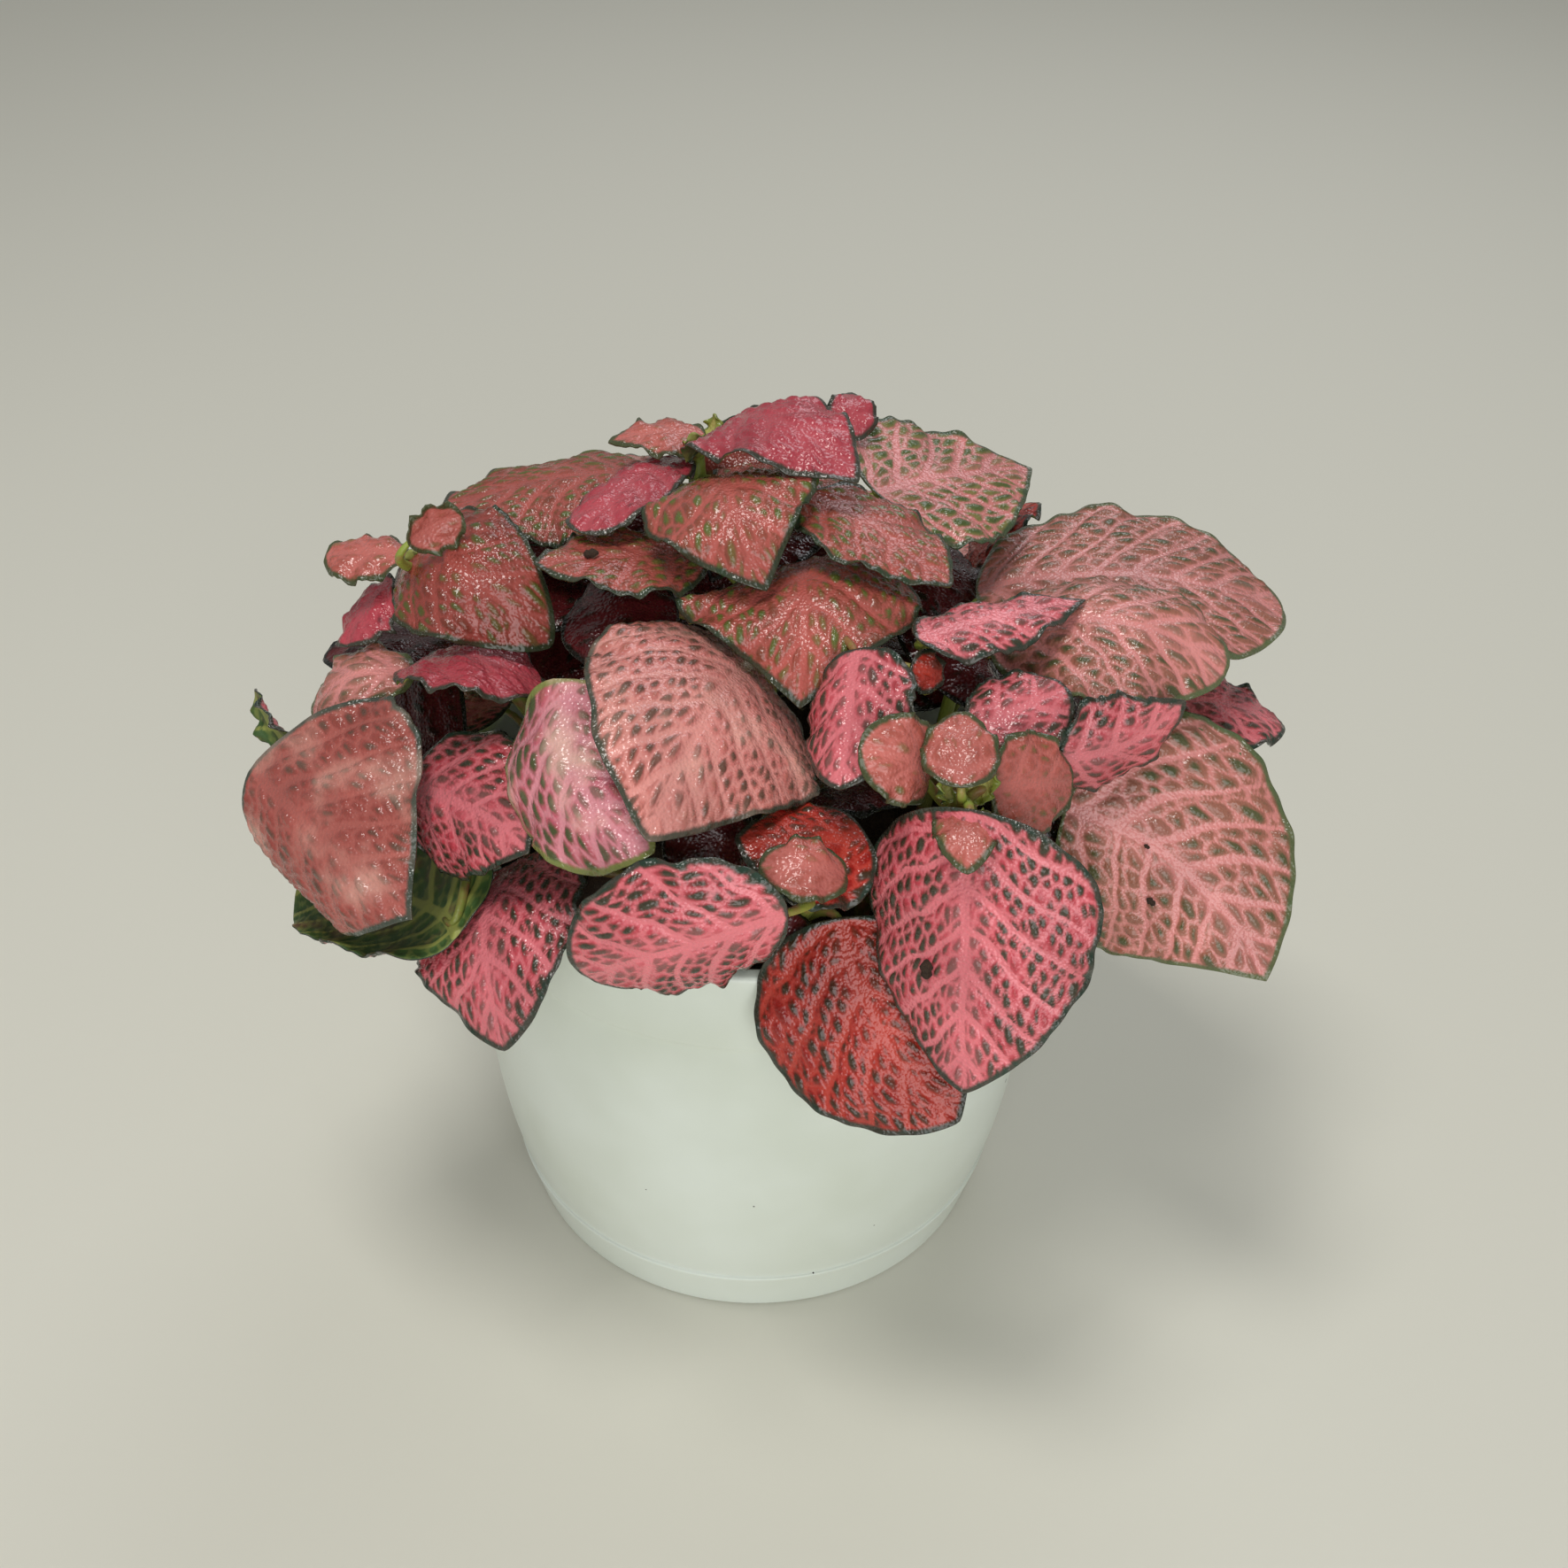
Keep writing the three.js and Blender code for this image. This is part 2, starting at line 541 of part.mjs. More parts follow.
function stemCurve(path) {
  const [[x, y], ...rest] = path;
  const soilLevel = soilHeight(x, y);
  const points = [
    new THREE.Vector3(x, y, SOIL.top - STEM.depthInSoil),
    new THREE.Vector3(x, y, soilLevel - STEM.straightBelow),
    new THREE.Vector3(x, y, soilLevel + STEM.upright),
    ...rest.map((point) => new THREE.Vector3(...point)),
  ];
  return new THREE.CatmullRomCurve3(points, false, "centripetal");
}

// A petiole leaves the stem below its leaf, lower the farther away the leaf is.
function petioleStart(curve, base, root) {
  const samples = curve.getSpacedPoints(PETIOLE.rootChoices);
  const score = (point) => {
    const out = Math.hypot(base.x - point.x, base.y - point.y);
    const usual = Math.max(PETIOLE.lowestRoot, base.z - PETIOLE.belowLeaf - PETIOLE.droop * out);
    return Math.abs(point.z - (root ?? usual));
  };
  return samples.reduce((best, point) => (score(point) < score(best) ? point : best));
}

// It runs on under the blade's midrib, sunk into the blade from below.
function petioleSolid(curve, plan) {
  const surface = bladeFunction(plan);
  const { point: base, forward } = surface(0, 0);
  const { point: end, facing } = surface(PETIOLE.runUnderBlade, 0);
  end.addScaledVector(facing, -PETIOLE.sink);
  const start = petioleStart(curve, base, plan.root);
  const { share, longest } = PETIOLE.lastHandle;
  const behind = Math.min(longest, start.distanceTo(base) * share);
  const lastHandle = base.clone().addScaledVector(forward, -behind);
  lastHandle.addScaledVector(facing, -PETIOLE.sink);
  const firstHandle = start.clone().lerp(base, PETIOLE.firstHandle);
  const path = new THREE.CubicBezierCurve3(start, firstHandle, lastHandle, end);
  return tube(path, PETIOLE.radius, PETIOLE.sides, PETIOLE.steps);
}

// A growing tip: small leaves standing round the end of the stem.
function budLeaves({ at, axis }) {
  const centre = new THREE.Vector3(...at);
  const upward = new THREE.Vector3(...axis).normalize();
  const out = new THREE.Vector3(1, 0, 0).addScaledVector(upward, -upward.x).normalize();
  return Array.from({ length: BUD.leaves }, (_, k) => {
    const turn = (2 * Math.PI * (k + BUD.turn)) / BUD.leaves;
    const radial = out.clone().applyAxisAngle(upward, turn);
    const scale = k % 2 === 0 ? 1 : BUD.smaller;
    const rise = upward.clone().addScaledVector(radial, BUD.opening).normalize();
    const foot = centre.clone().addScaledVector(radial, BUD.spacing);
    const tip = foot.clone().addScaledVector(rise, BUD.length * scale);
    const inward = upward.clone().addScaledVector(radial, -1 / BUD.opening);
    const level = new THREE.Vector3(0, 0, 1).addScaledVector(rise, -rise.z).normalize();
    const facing = inward.addScaledVector(rise, -inward.dot(rise)).normalize();
    const sine = level.clone().cross(facing).dot(rise);
    const roll = THREE.MathUtils.radToDeg(Math.atan2(sine, level.dot(facing)));
    return leaf(foot.toArray(), tip.toArray(), BUD.width * scale, roll, BUD.shape);
  });
}

function makeLeafyStem({ path, bud, leaves }) {
  const curve = stemCurve(path);
  const solids = [tube(curve, STEM.radius, STEM.sides, STEM.steps)];
  for (const plan of leaves) {
    solids.push(petioleSolid(curve, plan), bladeSolid(plan));
  }
  if (bud) {
    budLeaves(bud).forEach((plan) => solids.push(bladeSolid(plan)));
  }
  return joinAll(solids);
}

// ---------------------------------------------------------------- the part

const plastic = new THREE.MeshStandardMaterial({ color: 0xd3dacf, roughness: 0.38, metalness: 0 });
const earth = new THREE.MeshStandardMaterial({ color: 0x2e2118, roughness: 1, metalness: 0 });
const foliage = new THREE.MeshStandardMaterial({ color: 0xb8464c, roughness: 0.42, metalness: 0 });

const pottedPlant = new THREE.Group();
pottedPlant.add(toMesh(makePot(), "pot", plastic));
pottedPlant.add(toMesh(makeSoil(), "soil", earth));
for (const [place, plan] of Object.entries(STEMS)) {
  pottedPlant.add(toMesh(makeLeafyStem(plan), NODE_PREFIX + place, foliage));
}

export default pottedPlant;
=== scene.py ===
"""Looks of a potted nerve plant: red-veined leaves on twelve stems in a white nursery pot.

The plan of the plant and the sizes of its parts are in millimetres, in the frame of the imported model:
+Z is up, the origin is the centre of the pot's base, and the lowest hanging leaves face -Y. Every mesh is
worked out with numpy in millimetres and turned to metres when it is made. Each leafy stem, the pot and the
soil replace the plain solid of the same name and keep its form.
"""

from __future__ import annotations

import logging
import math
from dataclasses import dataclass, field
from enum import Enum
from functools import partial
from typing import Callable, Optional, Sequence, Union

import bpy
import numpy as np
from mathutils import Matrix, Vector

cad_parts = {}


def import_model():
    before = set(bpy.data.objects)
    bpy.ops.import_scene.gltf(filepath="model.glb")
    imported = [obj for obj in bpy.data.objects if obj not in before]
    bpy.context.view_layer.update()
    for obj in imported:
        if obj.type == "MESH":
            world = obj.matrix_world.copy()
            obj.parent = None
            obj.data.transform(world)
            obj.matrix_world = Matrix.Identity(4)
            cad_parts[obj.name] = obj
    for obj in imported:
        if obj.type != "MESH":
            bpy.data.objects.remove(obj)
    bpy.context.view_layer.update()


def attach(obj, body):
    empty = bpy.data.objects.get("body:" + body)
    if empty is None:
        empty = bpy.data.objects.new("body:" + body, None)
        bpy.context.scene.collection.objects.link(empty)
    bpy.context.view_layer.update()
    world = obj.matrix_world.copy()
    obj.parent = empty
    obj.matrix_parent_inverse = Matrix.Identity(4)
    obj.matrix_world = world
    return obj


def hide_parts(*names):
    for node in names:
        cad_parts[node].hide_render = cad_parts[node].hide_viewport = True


LOG = logging.getLogger("nerve_plant")
MM = 0.001
GROWTH_SEED = 4711

Array = np.ndarray
Triple = tuple[float, float, float]
Pair = tuple[float, float]
UP = np.array([0.0, 0.0, 1.0])


# ------------------------------------------------------------------ colours


def linear(hex_colour: str) -> tuple[float, ...]:
    """Turn an sRGB hex colour into linear red, green, blue and alpha 1, by the sRGB curve."""
    channels = [int(hex_colour[k : k + 2], 16) / 255.0 for k in (0, 2, 4)]
    return (*(c / 12.92 if c <= 0.04045 else ((c + 0.055) / 1.055) ** 2.4 for c in channels), 1.0)


@dataclass(frozen=True)
class Tone:
    """The colours and markings of one kind of leaf.

    Attributes:
        flesh: Colour of the blade between the markings.
        vein: Colour of the midrib, the side veins and the net.
        cell: Colour of the small fields that the net encloses.
        spot: Colour of the dark spot inside each field.
        rim: Colour of the thin band along the margin.
        spot_inset: Smallest and largest distance in mm from the net at which a spot starts.
        bare: Share of the fields that have no spot.
        field: Usual distance between the middles of two fields, in mm.
        cell_inset: Distance in mm from the net at which a field takes the cell colour.
        net_width: Half-width of the net's veins, in mm.
        pale: How much of the leaf is bleached, 0 to 1.
    """

    flesh: str
    vein: str
    cell: str
    spot: str
    rim: str
    spot_inset: Pair = (0.35, 0.8)
    bare: float = 0.12
    field: float = 2.7
    cell_inset: float = 0.5
    net_width: float = 0.12
    pale: float = 0.0


COLOURS = ("flesh", "vein", "cell", "spot", "rim")


class Kind(Enum):
    """Kinds of leaf on the plant, from the growing tips to the oldest leaves; two are darkened with painted
    shade.
    """

    BUD = Tone("B4B648", "CFCB78", "A8AE40", "8A963C", "87933A", bare=0.8, field=1.6)
    TAN = Tone("A9544A", "BE6A62", "9A4E40", "626032", "3A4A2C", (0.5, 0.9), 0.35, 2.2)
    ROSE = Tone("A93A47", "B24A54", "A43844", "6E2E36", "2A3A2E", (0.8, 1.3), 0.7)
    SALMON = Tone("8E4A3B", "B45A52", "7E4532", "57662C", "2A3C2A", (0.42, 0.85), 0.15, 2.6)
    BRONZE = Tone("84382F", "9E4A42", "743828", "525A28", "2A3A26", (0.4, 0.85), 0.2, 2.5)
    CORAL = Tone("BE4450", "DE7880", "A23E42", "1E3826", "22382C", (0.26, 0.62), 0.05, 2.35)
    CRIMSON = Tone("A01E18", "BA4034", "8A1C14", "2E2C1A", "22352A", (0.32, 0.7), 0.1, 2.45)
    PINK = Tone("C6736D", "DA9189", "AC6456", "5C4436", "2E3E30", (0.42, 0.9), pale=0.45)
    # Its own dull rose with bleached patches, darkened further as painted shade for the far left leaf,
    # which faces away from the lamps.
    ROSE_IN_PAINTED_SHADE = Tone("94463F", "A65A52", "88433A", "5E4438", "33443A", (0.55, 1.0), 0.3, pale=0.5)
    CREAM = Tone("B85666", "D08690", "9A5450", "364C26", "727C3C", (0.32, 0.8), 0.08, pale=1.0)
    MAUVE = Tone("A96B5C", "D48884", "94604F", "485030", "54623E", (0.75, 1.2), 0.12, 3.5, 0.12, 0.1)
    OLIVE = Tone("9A6855", "CD7C7A", "74703F", "46582A", "3A4C32", (0.5, 1.0), 0.1, 3.2, 0.1, 0.16)
    # Painted shade: every colour about half as bright, for leaves deep in the foliage where shade falls.
    PAINTED_SHADE = Tone("4A1216", "5C1C20", "3C1014", "141C12", "101812", (0.4, 1.0), 0.15)


# ------------------------------------------------------------------ the plan of the plant


@dataclass(frozen=True)
class Leaf:
    """One leaf, by the two ends of its midrib.

    Attributes:
        base: Where the blade starts.
        tip: Where the blade ends.
        width: Full width.
        roll: Turn about the midrib, in degrees, away from facing straight up.
        kind: Its colours and markings.
        arch: How far the middle of the midrib is lifted off the line between its ends.
        sweep: How far it is moved sideways.
        curl: How far the two halves bend down, in degrees at the margin.
        round: Exponent that shapes the blade towards its base.
        point: Exponent that shapes it towards its tip.
        wave: Height of the margin's waves.
        root: Height at which its stalk leaves the stem, where the usual height would not do.
        crumbs: Crumbs of soil on it: place along, place across and half their length.
        fine: Spacing of the mesh's points, in mm.
    """

    base: Triple
    tip: Triple
    width: float
    roll: float
    kind: Kind = Kind.CORAL
    arch: float = 1.0
    sweep: float = 0.0
    curl: Pair = (25.0, 25.0)
    round: float = 0.5
    point: float = 0.7
    wave: float = 0.8
    root: Optional[float] = None
    crumbs: tuple[Triple, ...] = ()
    fine: float = 0.42


def rear_leaf(
    base: Triple, tip: Triple, width: float, roll: float, kind: Kind = Kind.CORAL, arch: float = 3.5,
    point: float = 0.75,
) -> Leaf:
    """A leaf at the back, evenly curled and meshed a little more coarsely."""
    return Leaf(base, tip, width, roll, kind, arch, curl=(22.0, 22.0), point=point, fine=0.6)


def deep_leaf(
    base: Triple, tip: Triple, width: float, roll: float, kind: Kind = Kind.PAINTED_SHADE, arch: float = 3.0,
    curl: Pair = (22.0, 22.0), root: Optional[float] = None,
) -> Leaf:
    """A leaf deep in the foliage, meshed coarsely as it is seen only in glimpses; dark by default with
    painted shade.
    """
    return Leaf(base, tip, width, roll, kind, arch, curl=curl, root=root, fine=0.8)


@dataclass(frozen=True)
class StemPlan:
    """One leafy stem: its path from its hole in the soil, its leaves and its growing tip.

    Attributes:
        foot: Place of the hole, x and y.
        path: Points that the stem passes through above the soil.
        leaves: The leaves on it.
        bud: Place and direction of a growing tip at its end, if it has one.
    """

    foot: Pair
    path: tuple[Triple, ...]
    leaves: tuple[Leaf, ...]
    bud: Optional[tuple[Triple, Triple]] = None


PLAN: dict[str, StemPlan] = {
    "back_left": StemPlan(
        foot=(-30, 2),
        path=((-44, 1, 112), (-61, 0, 143)),
        bud=((-61, -1, 145), (-0.25, 0.1, 1)),
        leaves=(
            Leaf((-60, -14, 157), (-51, -10, 161), 10, 92, Kind.TAN, arch=-1, curl=(-26, -30), point=0.45),
            Leaf((-63, -3, 148.5), (-78.5, 0, 146.5), 13, -17, Kind.TAN, curl=(29, 49), point=0.45),
            Leaf((-66, -2, 143), (-74, -11, 134), 16, 17, Kind.ROSE, sweep=1.5, curl=(57, 40), point=0.45),
            Leaf((-64, 3, 145.5), (-36, -19, 140.5), 28, 35, Kind.BRONZE, arch=12, sweep=-1, curl=(37, 25)),
            Leaf((-61, -16, 132), (-80, -18, 123), 19, -9, Kind.MAUVE, arch=5, sweep=0.5, curl=(25, 23),
                 point=0.6),
            Leaf((-62, -18, 134.5), (-37, -25.5, 135.5), 26, -10, Kind.ROSE, arch=5, sweep=1, curl=(33, 3),
                 point=0.5),
            deep_leaf((-55, 0.5, 128.5), (-81, -3.5, 126), 22, 2),
        ),
    ),
    "top": StemPlan(
        foot=(-8, 14),
        path=((-10, 18, 120), (-13, 25, 155)),
        bud=((-13, 25, 156), (-0.2, 0.1, 1)),
        leaves=(
            Leaf((-21, 23, 152.5), (-60, 15.5, 147), 36, 6, Kind.SALMON, sweep=4, curl=(48, 24)),
            Leaf((-6, 8, 160), (1, -21, 154), 32, 12, Kind.SALMON, arch=8.5, sweep=2, curl=(15, 29),
                 point=0.9, wave=1.5),
            Leaf((-10.5, 23, 159.5), (16, -5.5, 166.5), 28, 13, Kind.ROSE, arch=8.5, sweep=-0.5,
                 curl=(44, -5), point=0.8, wave=1.6),
            Leaf((-11.5, 27, 158.5), (-29.5, 22.5, 158.5), 16, -1, Kind.TAN, arch=1.5, curl=(21, 28),
                 point=0.95),
            Leaf((-16.5, 27, 153.5), (-32, -6.5, 156), 17, -3, Kind.ROSE, arch=3, sweep=-0.5, curl=(-7, 62),
                 point=0.45),
            deep_leaf((-2, 14.5, 143), (5.5, -1.5, 147), 26, 11, curl=(25, 25)),
            deep_leaf((-11, 19, 131.5), (-25.5, 1, 131), 28, -1),
            rear_leaf((-14, 31, 150), (14, 33, 153), 20, 45, Kind.BRONZE, arch=1, point=0.7),
            deep_leaf((-22, 22, 143), (-48, 21, 136), 13, -60, arch=1),
            deep_leaf((14, 26, 136), (-14, 15, 132), 16, -50, arch=1),
        ),
    ),
    "top_right": StemPlan(
        foot=(15, 14),
        path=((15, 14, 125), (14, 12, 154)),
        leaves=(
            Leaf((8, 1, 161), (32, -18, 154), 26, -4, Kind.SALMON, sweep=-0.5, curl=(18, 2), point=0.8),
            Leaf((15, 21, 161), (14, 32, 165), 10, 10, Kind.ROSE, arch=3, sweep=0.5, curl=(25, 22)),
            Leaf((19.5, 9, 157), (50.5, 31, 151), 36, 10, Kind.OLIVE, sweep=-0.5, curl=(-7, 15), point=1),
            deep_leaf((21.5, 22, 115), (38.5, 1.5, 117), 26, 12),
            deep_leaf((19.5, 16.5, 138.5), (40.5, 3.5, 133), 30, 5),
            deep_leaf((18, 16, 122), (34.5, -1.5, 125), 26, 1),
        ),
    ),
    "centre": StemPlan(
        foot=(2, -10),
        path=((2, -12, 115), (1, -9, 143)),
        leaves=(
            Leaf((-1, -17, 136), (-16, -67, 137), 47, -34, Kind.PINK, arch=8.5, sweep=4, curl=(19, 48),
                 point=0.8),
            Leaf((-12, -1, 150), (-39, -14, 154), 24, 0, Kind.SALMON, sweep=-1.5, curl=(14, 14), point=0.8,
                 crumbs=((0.67, 0.03, 1.3),)),
            Leaf((6.5, -3.5, 149.5), (7, -35, 140), 44, 11, Kind.SALMON, arch=8, sweep=-2, curl=(51, 6),
                 point=1, wave=1.6),
            Leaf((16, -33, 151), (13.5, -55.5, 139), 22, 23, sweep=-0.5, curl=(15, 55)),
            Leaf((25, -31.5, 147), (31, -30, 143), 8, 50, Kind.CRIMSON, curl=(12, 30), point=0.8),
            deep_leaf((-14.5, -11, 143.5), (-35, -14.5, 139), 30, -11, curl=(25, 25)),
            deep_leaf((8, -15, 108), (27, -27, 114), 26, -10),
        ),
    ),
    "right": StemPlan(
        foot=(32, -2),
        path=((34, -3, 112), (37, -4, 134)),
        leaves=(
            Leaf((40, 25, 131), (53, 38, 140), 18, -30, Kind.CRIMSON, arch=3, sweep=-0.5, curl=(41, 13),
                 point=0.45),
            Leaf((39, 6, 139), (96, 5, 137), 49, 4, Kind.MAUVE, arch=6, sweep=0.5, curl=(7, 6), point=0.55),
            Leaf((40, -15, 139), (80, -22, 140), 37, 19, Kind.MAUVE, arch=7.5, sweep=-4, curl=(59, -6),
                 point=0.55, wave=1.2),
            Leaf((26, -30, 151), (56, -13, 149), 16, 3, curl=(35, 29), point=1),
            Leaf((74, -11, 128), (96, -9, 121), 20, 4, arch=2.5, sweep=1.5, curl=(9, 28), point=0.75),
            deep_leaf((29, -25, 139), (38, -13, 138.5), 26, 23, curl=(25, 25)),
            deep_leaf((42, 8, 118), (68, 12, 108), 28, 0),
            rear_leaf((49, 2, 112), (76, 4, 94), 32, 0, Kind.SALMON, arch=4, point=0.7),
            rear_leaf((45, -16, 111), (66, -30, 93), 26, 0, Kind.CRIMSON, arch=4, point=0.7),
        ),
    ),
    "front_right": StemPlan(
        foot=(20, -27),
        path=((27, -38, 112), (33, -56, 138)),
        bud=((32.8, -55.5, 137.2), (0.1, -0.5, 1)),
        leaves=(
            Leaf((33.5, -62.5, 141.5), (35, -79, 96), 43, 34, curl=(43, 37), point=0.85,
                 crumbs=((0.57, 0.33, 1.6),)),
            Leaf((33, -57.5, 137), (33, -70.5, 135), 11, 3, Kind.TAN, arch=3.5, curl=(26, 33), point=0.65),
            Leaf((28, -50, 137), (16, -55, 147), 15, -52, Kind.TAN, arch=4, sweep=0.5, curl=(25, 7),
                 point=0.45),
            Leaf((32, -60, 143.5), (32, -48, 149.5), 13, -1, Kind.TAN, curl=(27, 26), point=0.65),
            Leaf((37, -55, 140), (52, -45, 134), 18, 61, Kind.TAN, curl=(22, 26), point=0.55),
            Leaf((35, -42, 141), (51, -32, 144), 18, 24, sweep=0.5, curl=(38, 20), point=0.6),
            Leaf((49.5, -41.5, 135.5), (71, -33, 142.5), 20, 86, sweep=2, curl=(31, 37), point=0.9),
            Leaf((53, -36, 122), (89, -52, 97), 49, 50, Kind.MAUVE, sweep=-5, curl=(17, 55), point=1,
                 crumbs=((0.47, 0.33, 0.9), (0.32, 0.02, 0.55))),
            deep_leaf((45, -30, 123), (70, -20, 111), 35, 40, curl=(25, 25)),
        ),
    ),
    "front_centre": StemPlan(
        foot=(3, -36),
        path=((7, -46, 102), (12, -60, 124)),
        leaves=(
            Leaf((18, -52, 128), (-3, -57, 130), 24, -20, Kind.CRIMSON, sweep=-2, curl=(25, 53),
                 point=0.85),
            Leaf((15, -64, 129), (1, -65, 131), 12, -28, Kind.TAN, arch=3.5, sweep=-0.5, curl=(15, 36),
                 point=0.55),
            Leaf((6, -72, 127), (-26, -70, 111), 30, -93, arch=4.5, sweep=4, curl=(41, 51), point=0.55),
            Leaf((15, -55.5, 112.5), (35.5, -75.5, 85.5), 40, 41, Kind.CRIMSON, sweep=4, curl=(25, 24),
                 point=0.8),
            deep_leaf((0, -52, 123), (-15, -54, 126), 30, -46, curl=(25, 25)),
            deep_leaf((8.5, -52.5, 110), (5.5, -52.5, 103), 29, -62, curl=(25, 25)),
        ),
    ),
    "lower_left": StemPlan(
        foot=(-18, -29),
        path=((-26, -32, 112), (-30, -36, 142)),
        leaves=(
            Leaf((-43, -35, 105), (-41, -68, 91.5), 36, 33, arch=9, sweep=-2, curl=(25, 15), point=0.75),
            Leaf((-30, -38, 147), (-15, -66, 134), 31, 30, Kind.CREAM, sweep=6, curl=(25, 54), point=0.8,
                 wave=2),
            deep_leaf((-46, -37, 101.5), (-60, -37, 83.5), 32, -50, curl=(25, 25), root=106),
        ),
    ),
    "left": StemPlan(
        foot=(-35, -14),
        path=((-50, -22, 108), (-84, -27, 116)),
        leaves=(
            # This leaf's tone is darkened as painted shade, as it faces away from the lamps.
            Leaf((-88.5, -29, 120.5), (-56, -58.5, 112), 52, 45, Kind.ROSE_IN_PAINTED_SHADE, arch=2.5, curl=(12, 120),
                 round=0.8, point=1.2),
            Leaf((-49.5, -55.5, 106), (-85, -27, 92), 36, 147, arch=4.5, sweep=-4.5, curl=(15, 69),
                 point=0.45, wave=1.4, root=109),
            Leaf((-60.5, -34, 120), (-36.5, -55, 124), 30, 45, sweep=-2.5, curl=(42, 61), point=0.9),
            deep_leaf((-53.5, -16, 115.5), (-79.5, 3, 109), 31, -60, curl=(25, 25)),
            Leaf((-74, -33, 117), (-91, -25, 110), 18, 150, curl=(20, 20), point=0.6, wave=1.2),
            Leaf((-83.5, -20, 118), (-93, -7.5, 122), 8, 100, arch=-1, curl=(70, 70), point=0.8),
            rear_leaf((-49, 8, 109), (-74, 14, 92), 30, 0, arch=4, point=0.7),
            rear_leaf((-49.5, -14, 106.5), (-70, -17.5, 87.5), 28, -2, Kind.CRIMSON, arch=4, point=0.7),
        ),
    ),
    "rear_left": StemPlan(
        foot=(-24, 24),
        path=((-30, 28, 108), (-35, 27, 130)),
        leaves=(
            rear_leaf((-37, 20, 130), (-81.5, 22, 111), 38, 15),
            rear_leaf((-32, 27, 136), (-62, 50, 117), 40, 16, Kind.SALMON),
            rear_leaf((-29, 45, 122), (-48, 67, 98), 42, 20, Kind.MAUVE),
            rear_leaf((-57, 27.5, 116.5), (-77, 39.5, 94.5), 38, 6, Kind.PINK),
            deep_leaf((-39, 21, 109.5), (-52.5, 7.5, 112.5), 30, -11, Kind.CRIMSON),
            deep_leaf((-32.5, 25, 124.5), (-45.5, 3, 114.5), 34, 1),
            deep_leaf((-33, 24, 129.5), (-47.5, 3, 130.5), 30, -4),
            rear_leaf((-30, 32, 145), (-46, 52, 134), 28, 0, Kind.SALMON, arch=3, point=0.7),
        ),
    ),
    "rear": StemPlan(
        foot=(0, 32),
        path=((0, 38, 112), (-3, 36, 136)),
        leaves=(
            rear_leaf((-9, 37, 139), (-22, 71, 119), 40, 15, Kind.OLIVE),
            rear_leaf((-7, 53, 121), (-11, 79, 95), 42, 12, Kind.SALMON),
            rear_leaf((19, 50, 122), (28, 76, 98), 42, 7),
            rear_leaf((4.5, 12, 151.5), (3, 45.5, 143), 30, 7, Kind.SALMON),
        ),
    ),
    "rear_right": StemPlan(
        foot=(26, 22),
        path=((32, 28, 110), (30, 30, 134)),
        leaves=(
            rear_leaf((16, 38, 138), (29, 72, 117), 40, 6, Kind.MAUVE),
            rear_leaf((34, 36, 128), (68, 50.5, 110), 40, -7, Kind.PINK),
            rear_leaf((45, 42, 119), (62, 61, 95), 42, 4, Kind.OLIVE),
            rear_leaf((63, 25, 116), (86, 32, 95), 38, 0, Kind.SALMON),
        ),
    ),
}


# ------------------------------------------------------------------ meshes


def unit(vectors: Array) -> Array:
    """Scale each vector, along the last axis, to length 1."""
    return vectors / np.maximum(np.linalg.norm(vectors, axis=-1, keepdims=True), 1e-12)


def upward_face(forward: Array) -> Array:
    """The direction square to a unit direction that comes nearest to straight up."""
    return unit(UP - forward * forward[2])


def turned_about(vector: Array, axis: Array, angle: float) -> Array:
    """Turn a vector by the right-hand rule: v cos a + (axis x v) sin a + axis (axis . v) (1 - cos a).

    Args:
        vector: What is turned.
        axis: Unit axis.
        angle: Angle in radians.

    Returns:
        The turned vector.
    """
    across = np.cross(axis, vector)
    along = axis * float(axis @ vector)
    return vector * math.cos(angle) + across * math.sin(angle) + along * (1 - math.cos(angle))


def cubic(ends_and_handles: Array, samples: int) -> tuple[Array, Array]:
    """A cubic curve by its start, two handles and end.

    Its points are (1-t)^3 a + 3 t (1-t)^2 b + 3 t^2 (1-t) c + t^3 d for even steps of t.

    Args:
        ends_and_handles: The points a, b, c and d.
        samples: How many points to return.

    Returns:
        The points, and t for each.
    """
    t = np.linspace(0, 1, samples)[:, None]
    weights = (1 - t) ** 3, 3 * t * (1 - t) ** 2, 3 * t * t * (1 - t), t**3
    return sum(w * p for w, p in zip(weights, ends_and_handles)), t[:, 0]


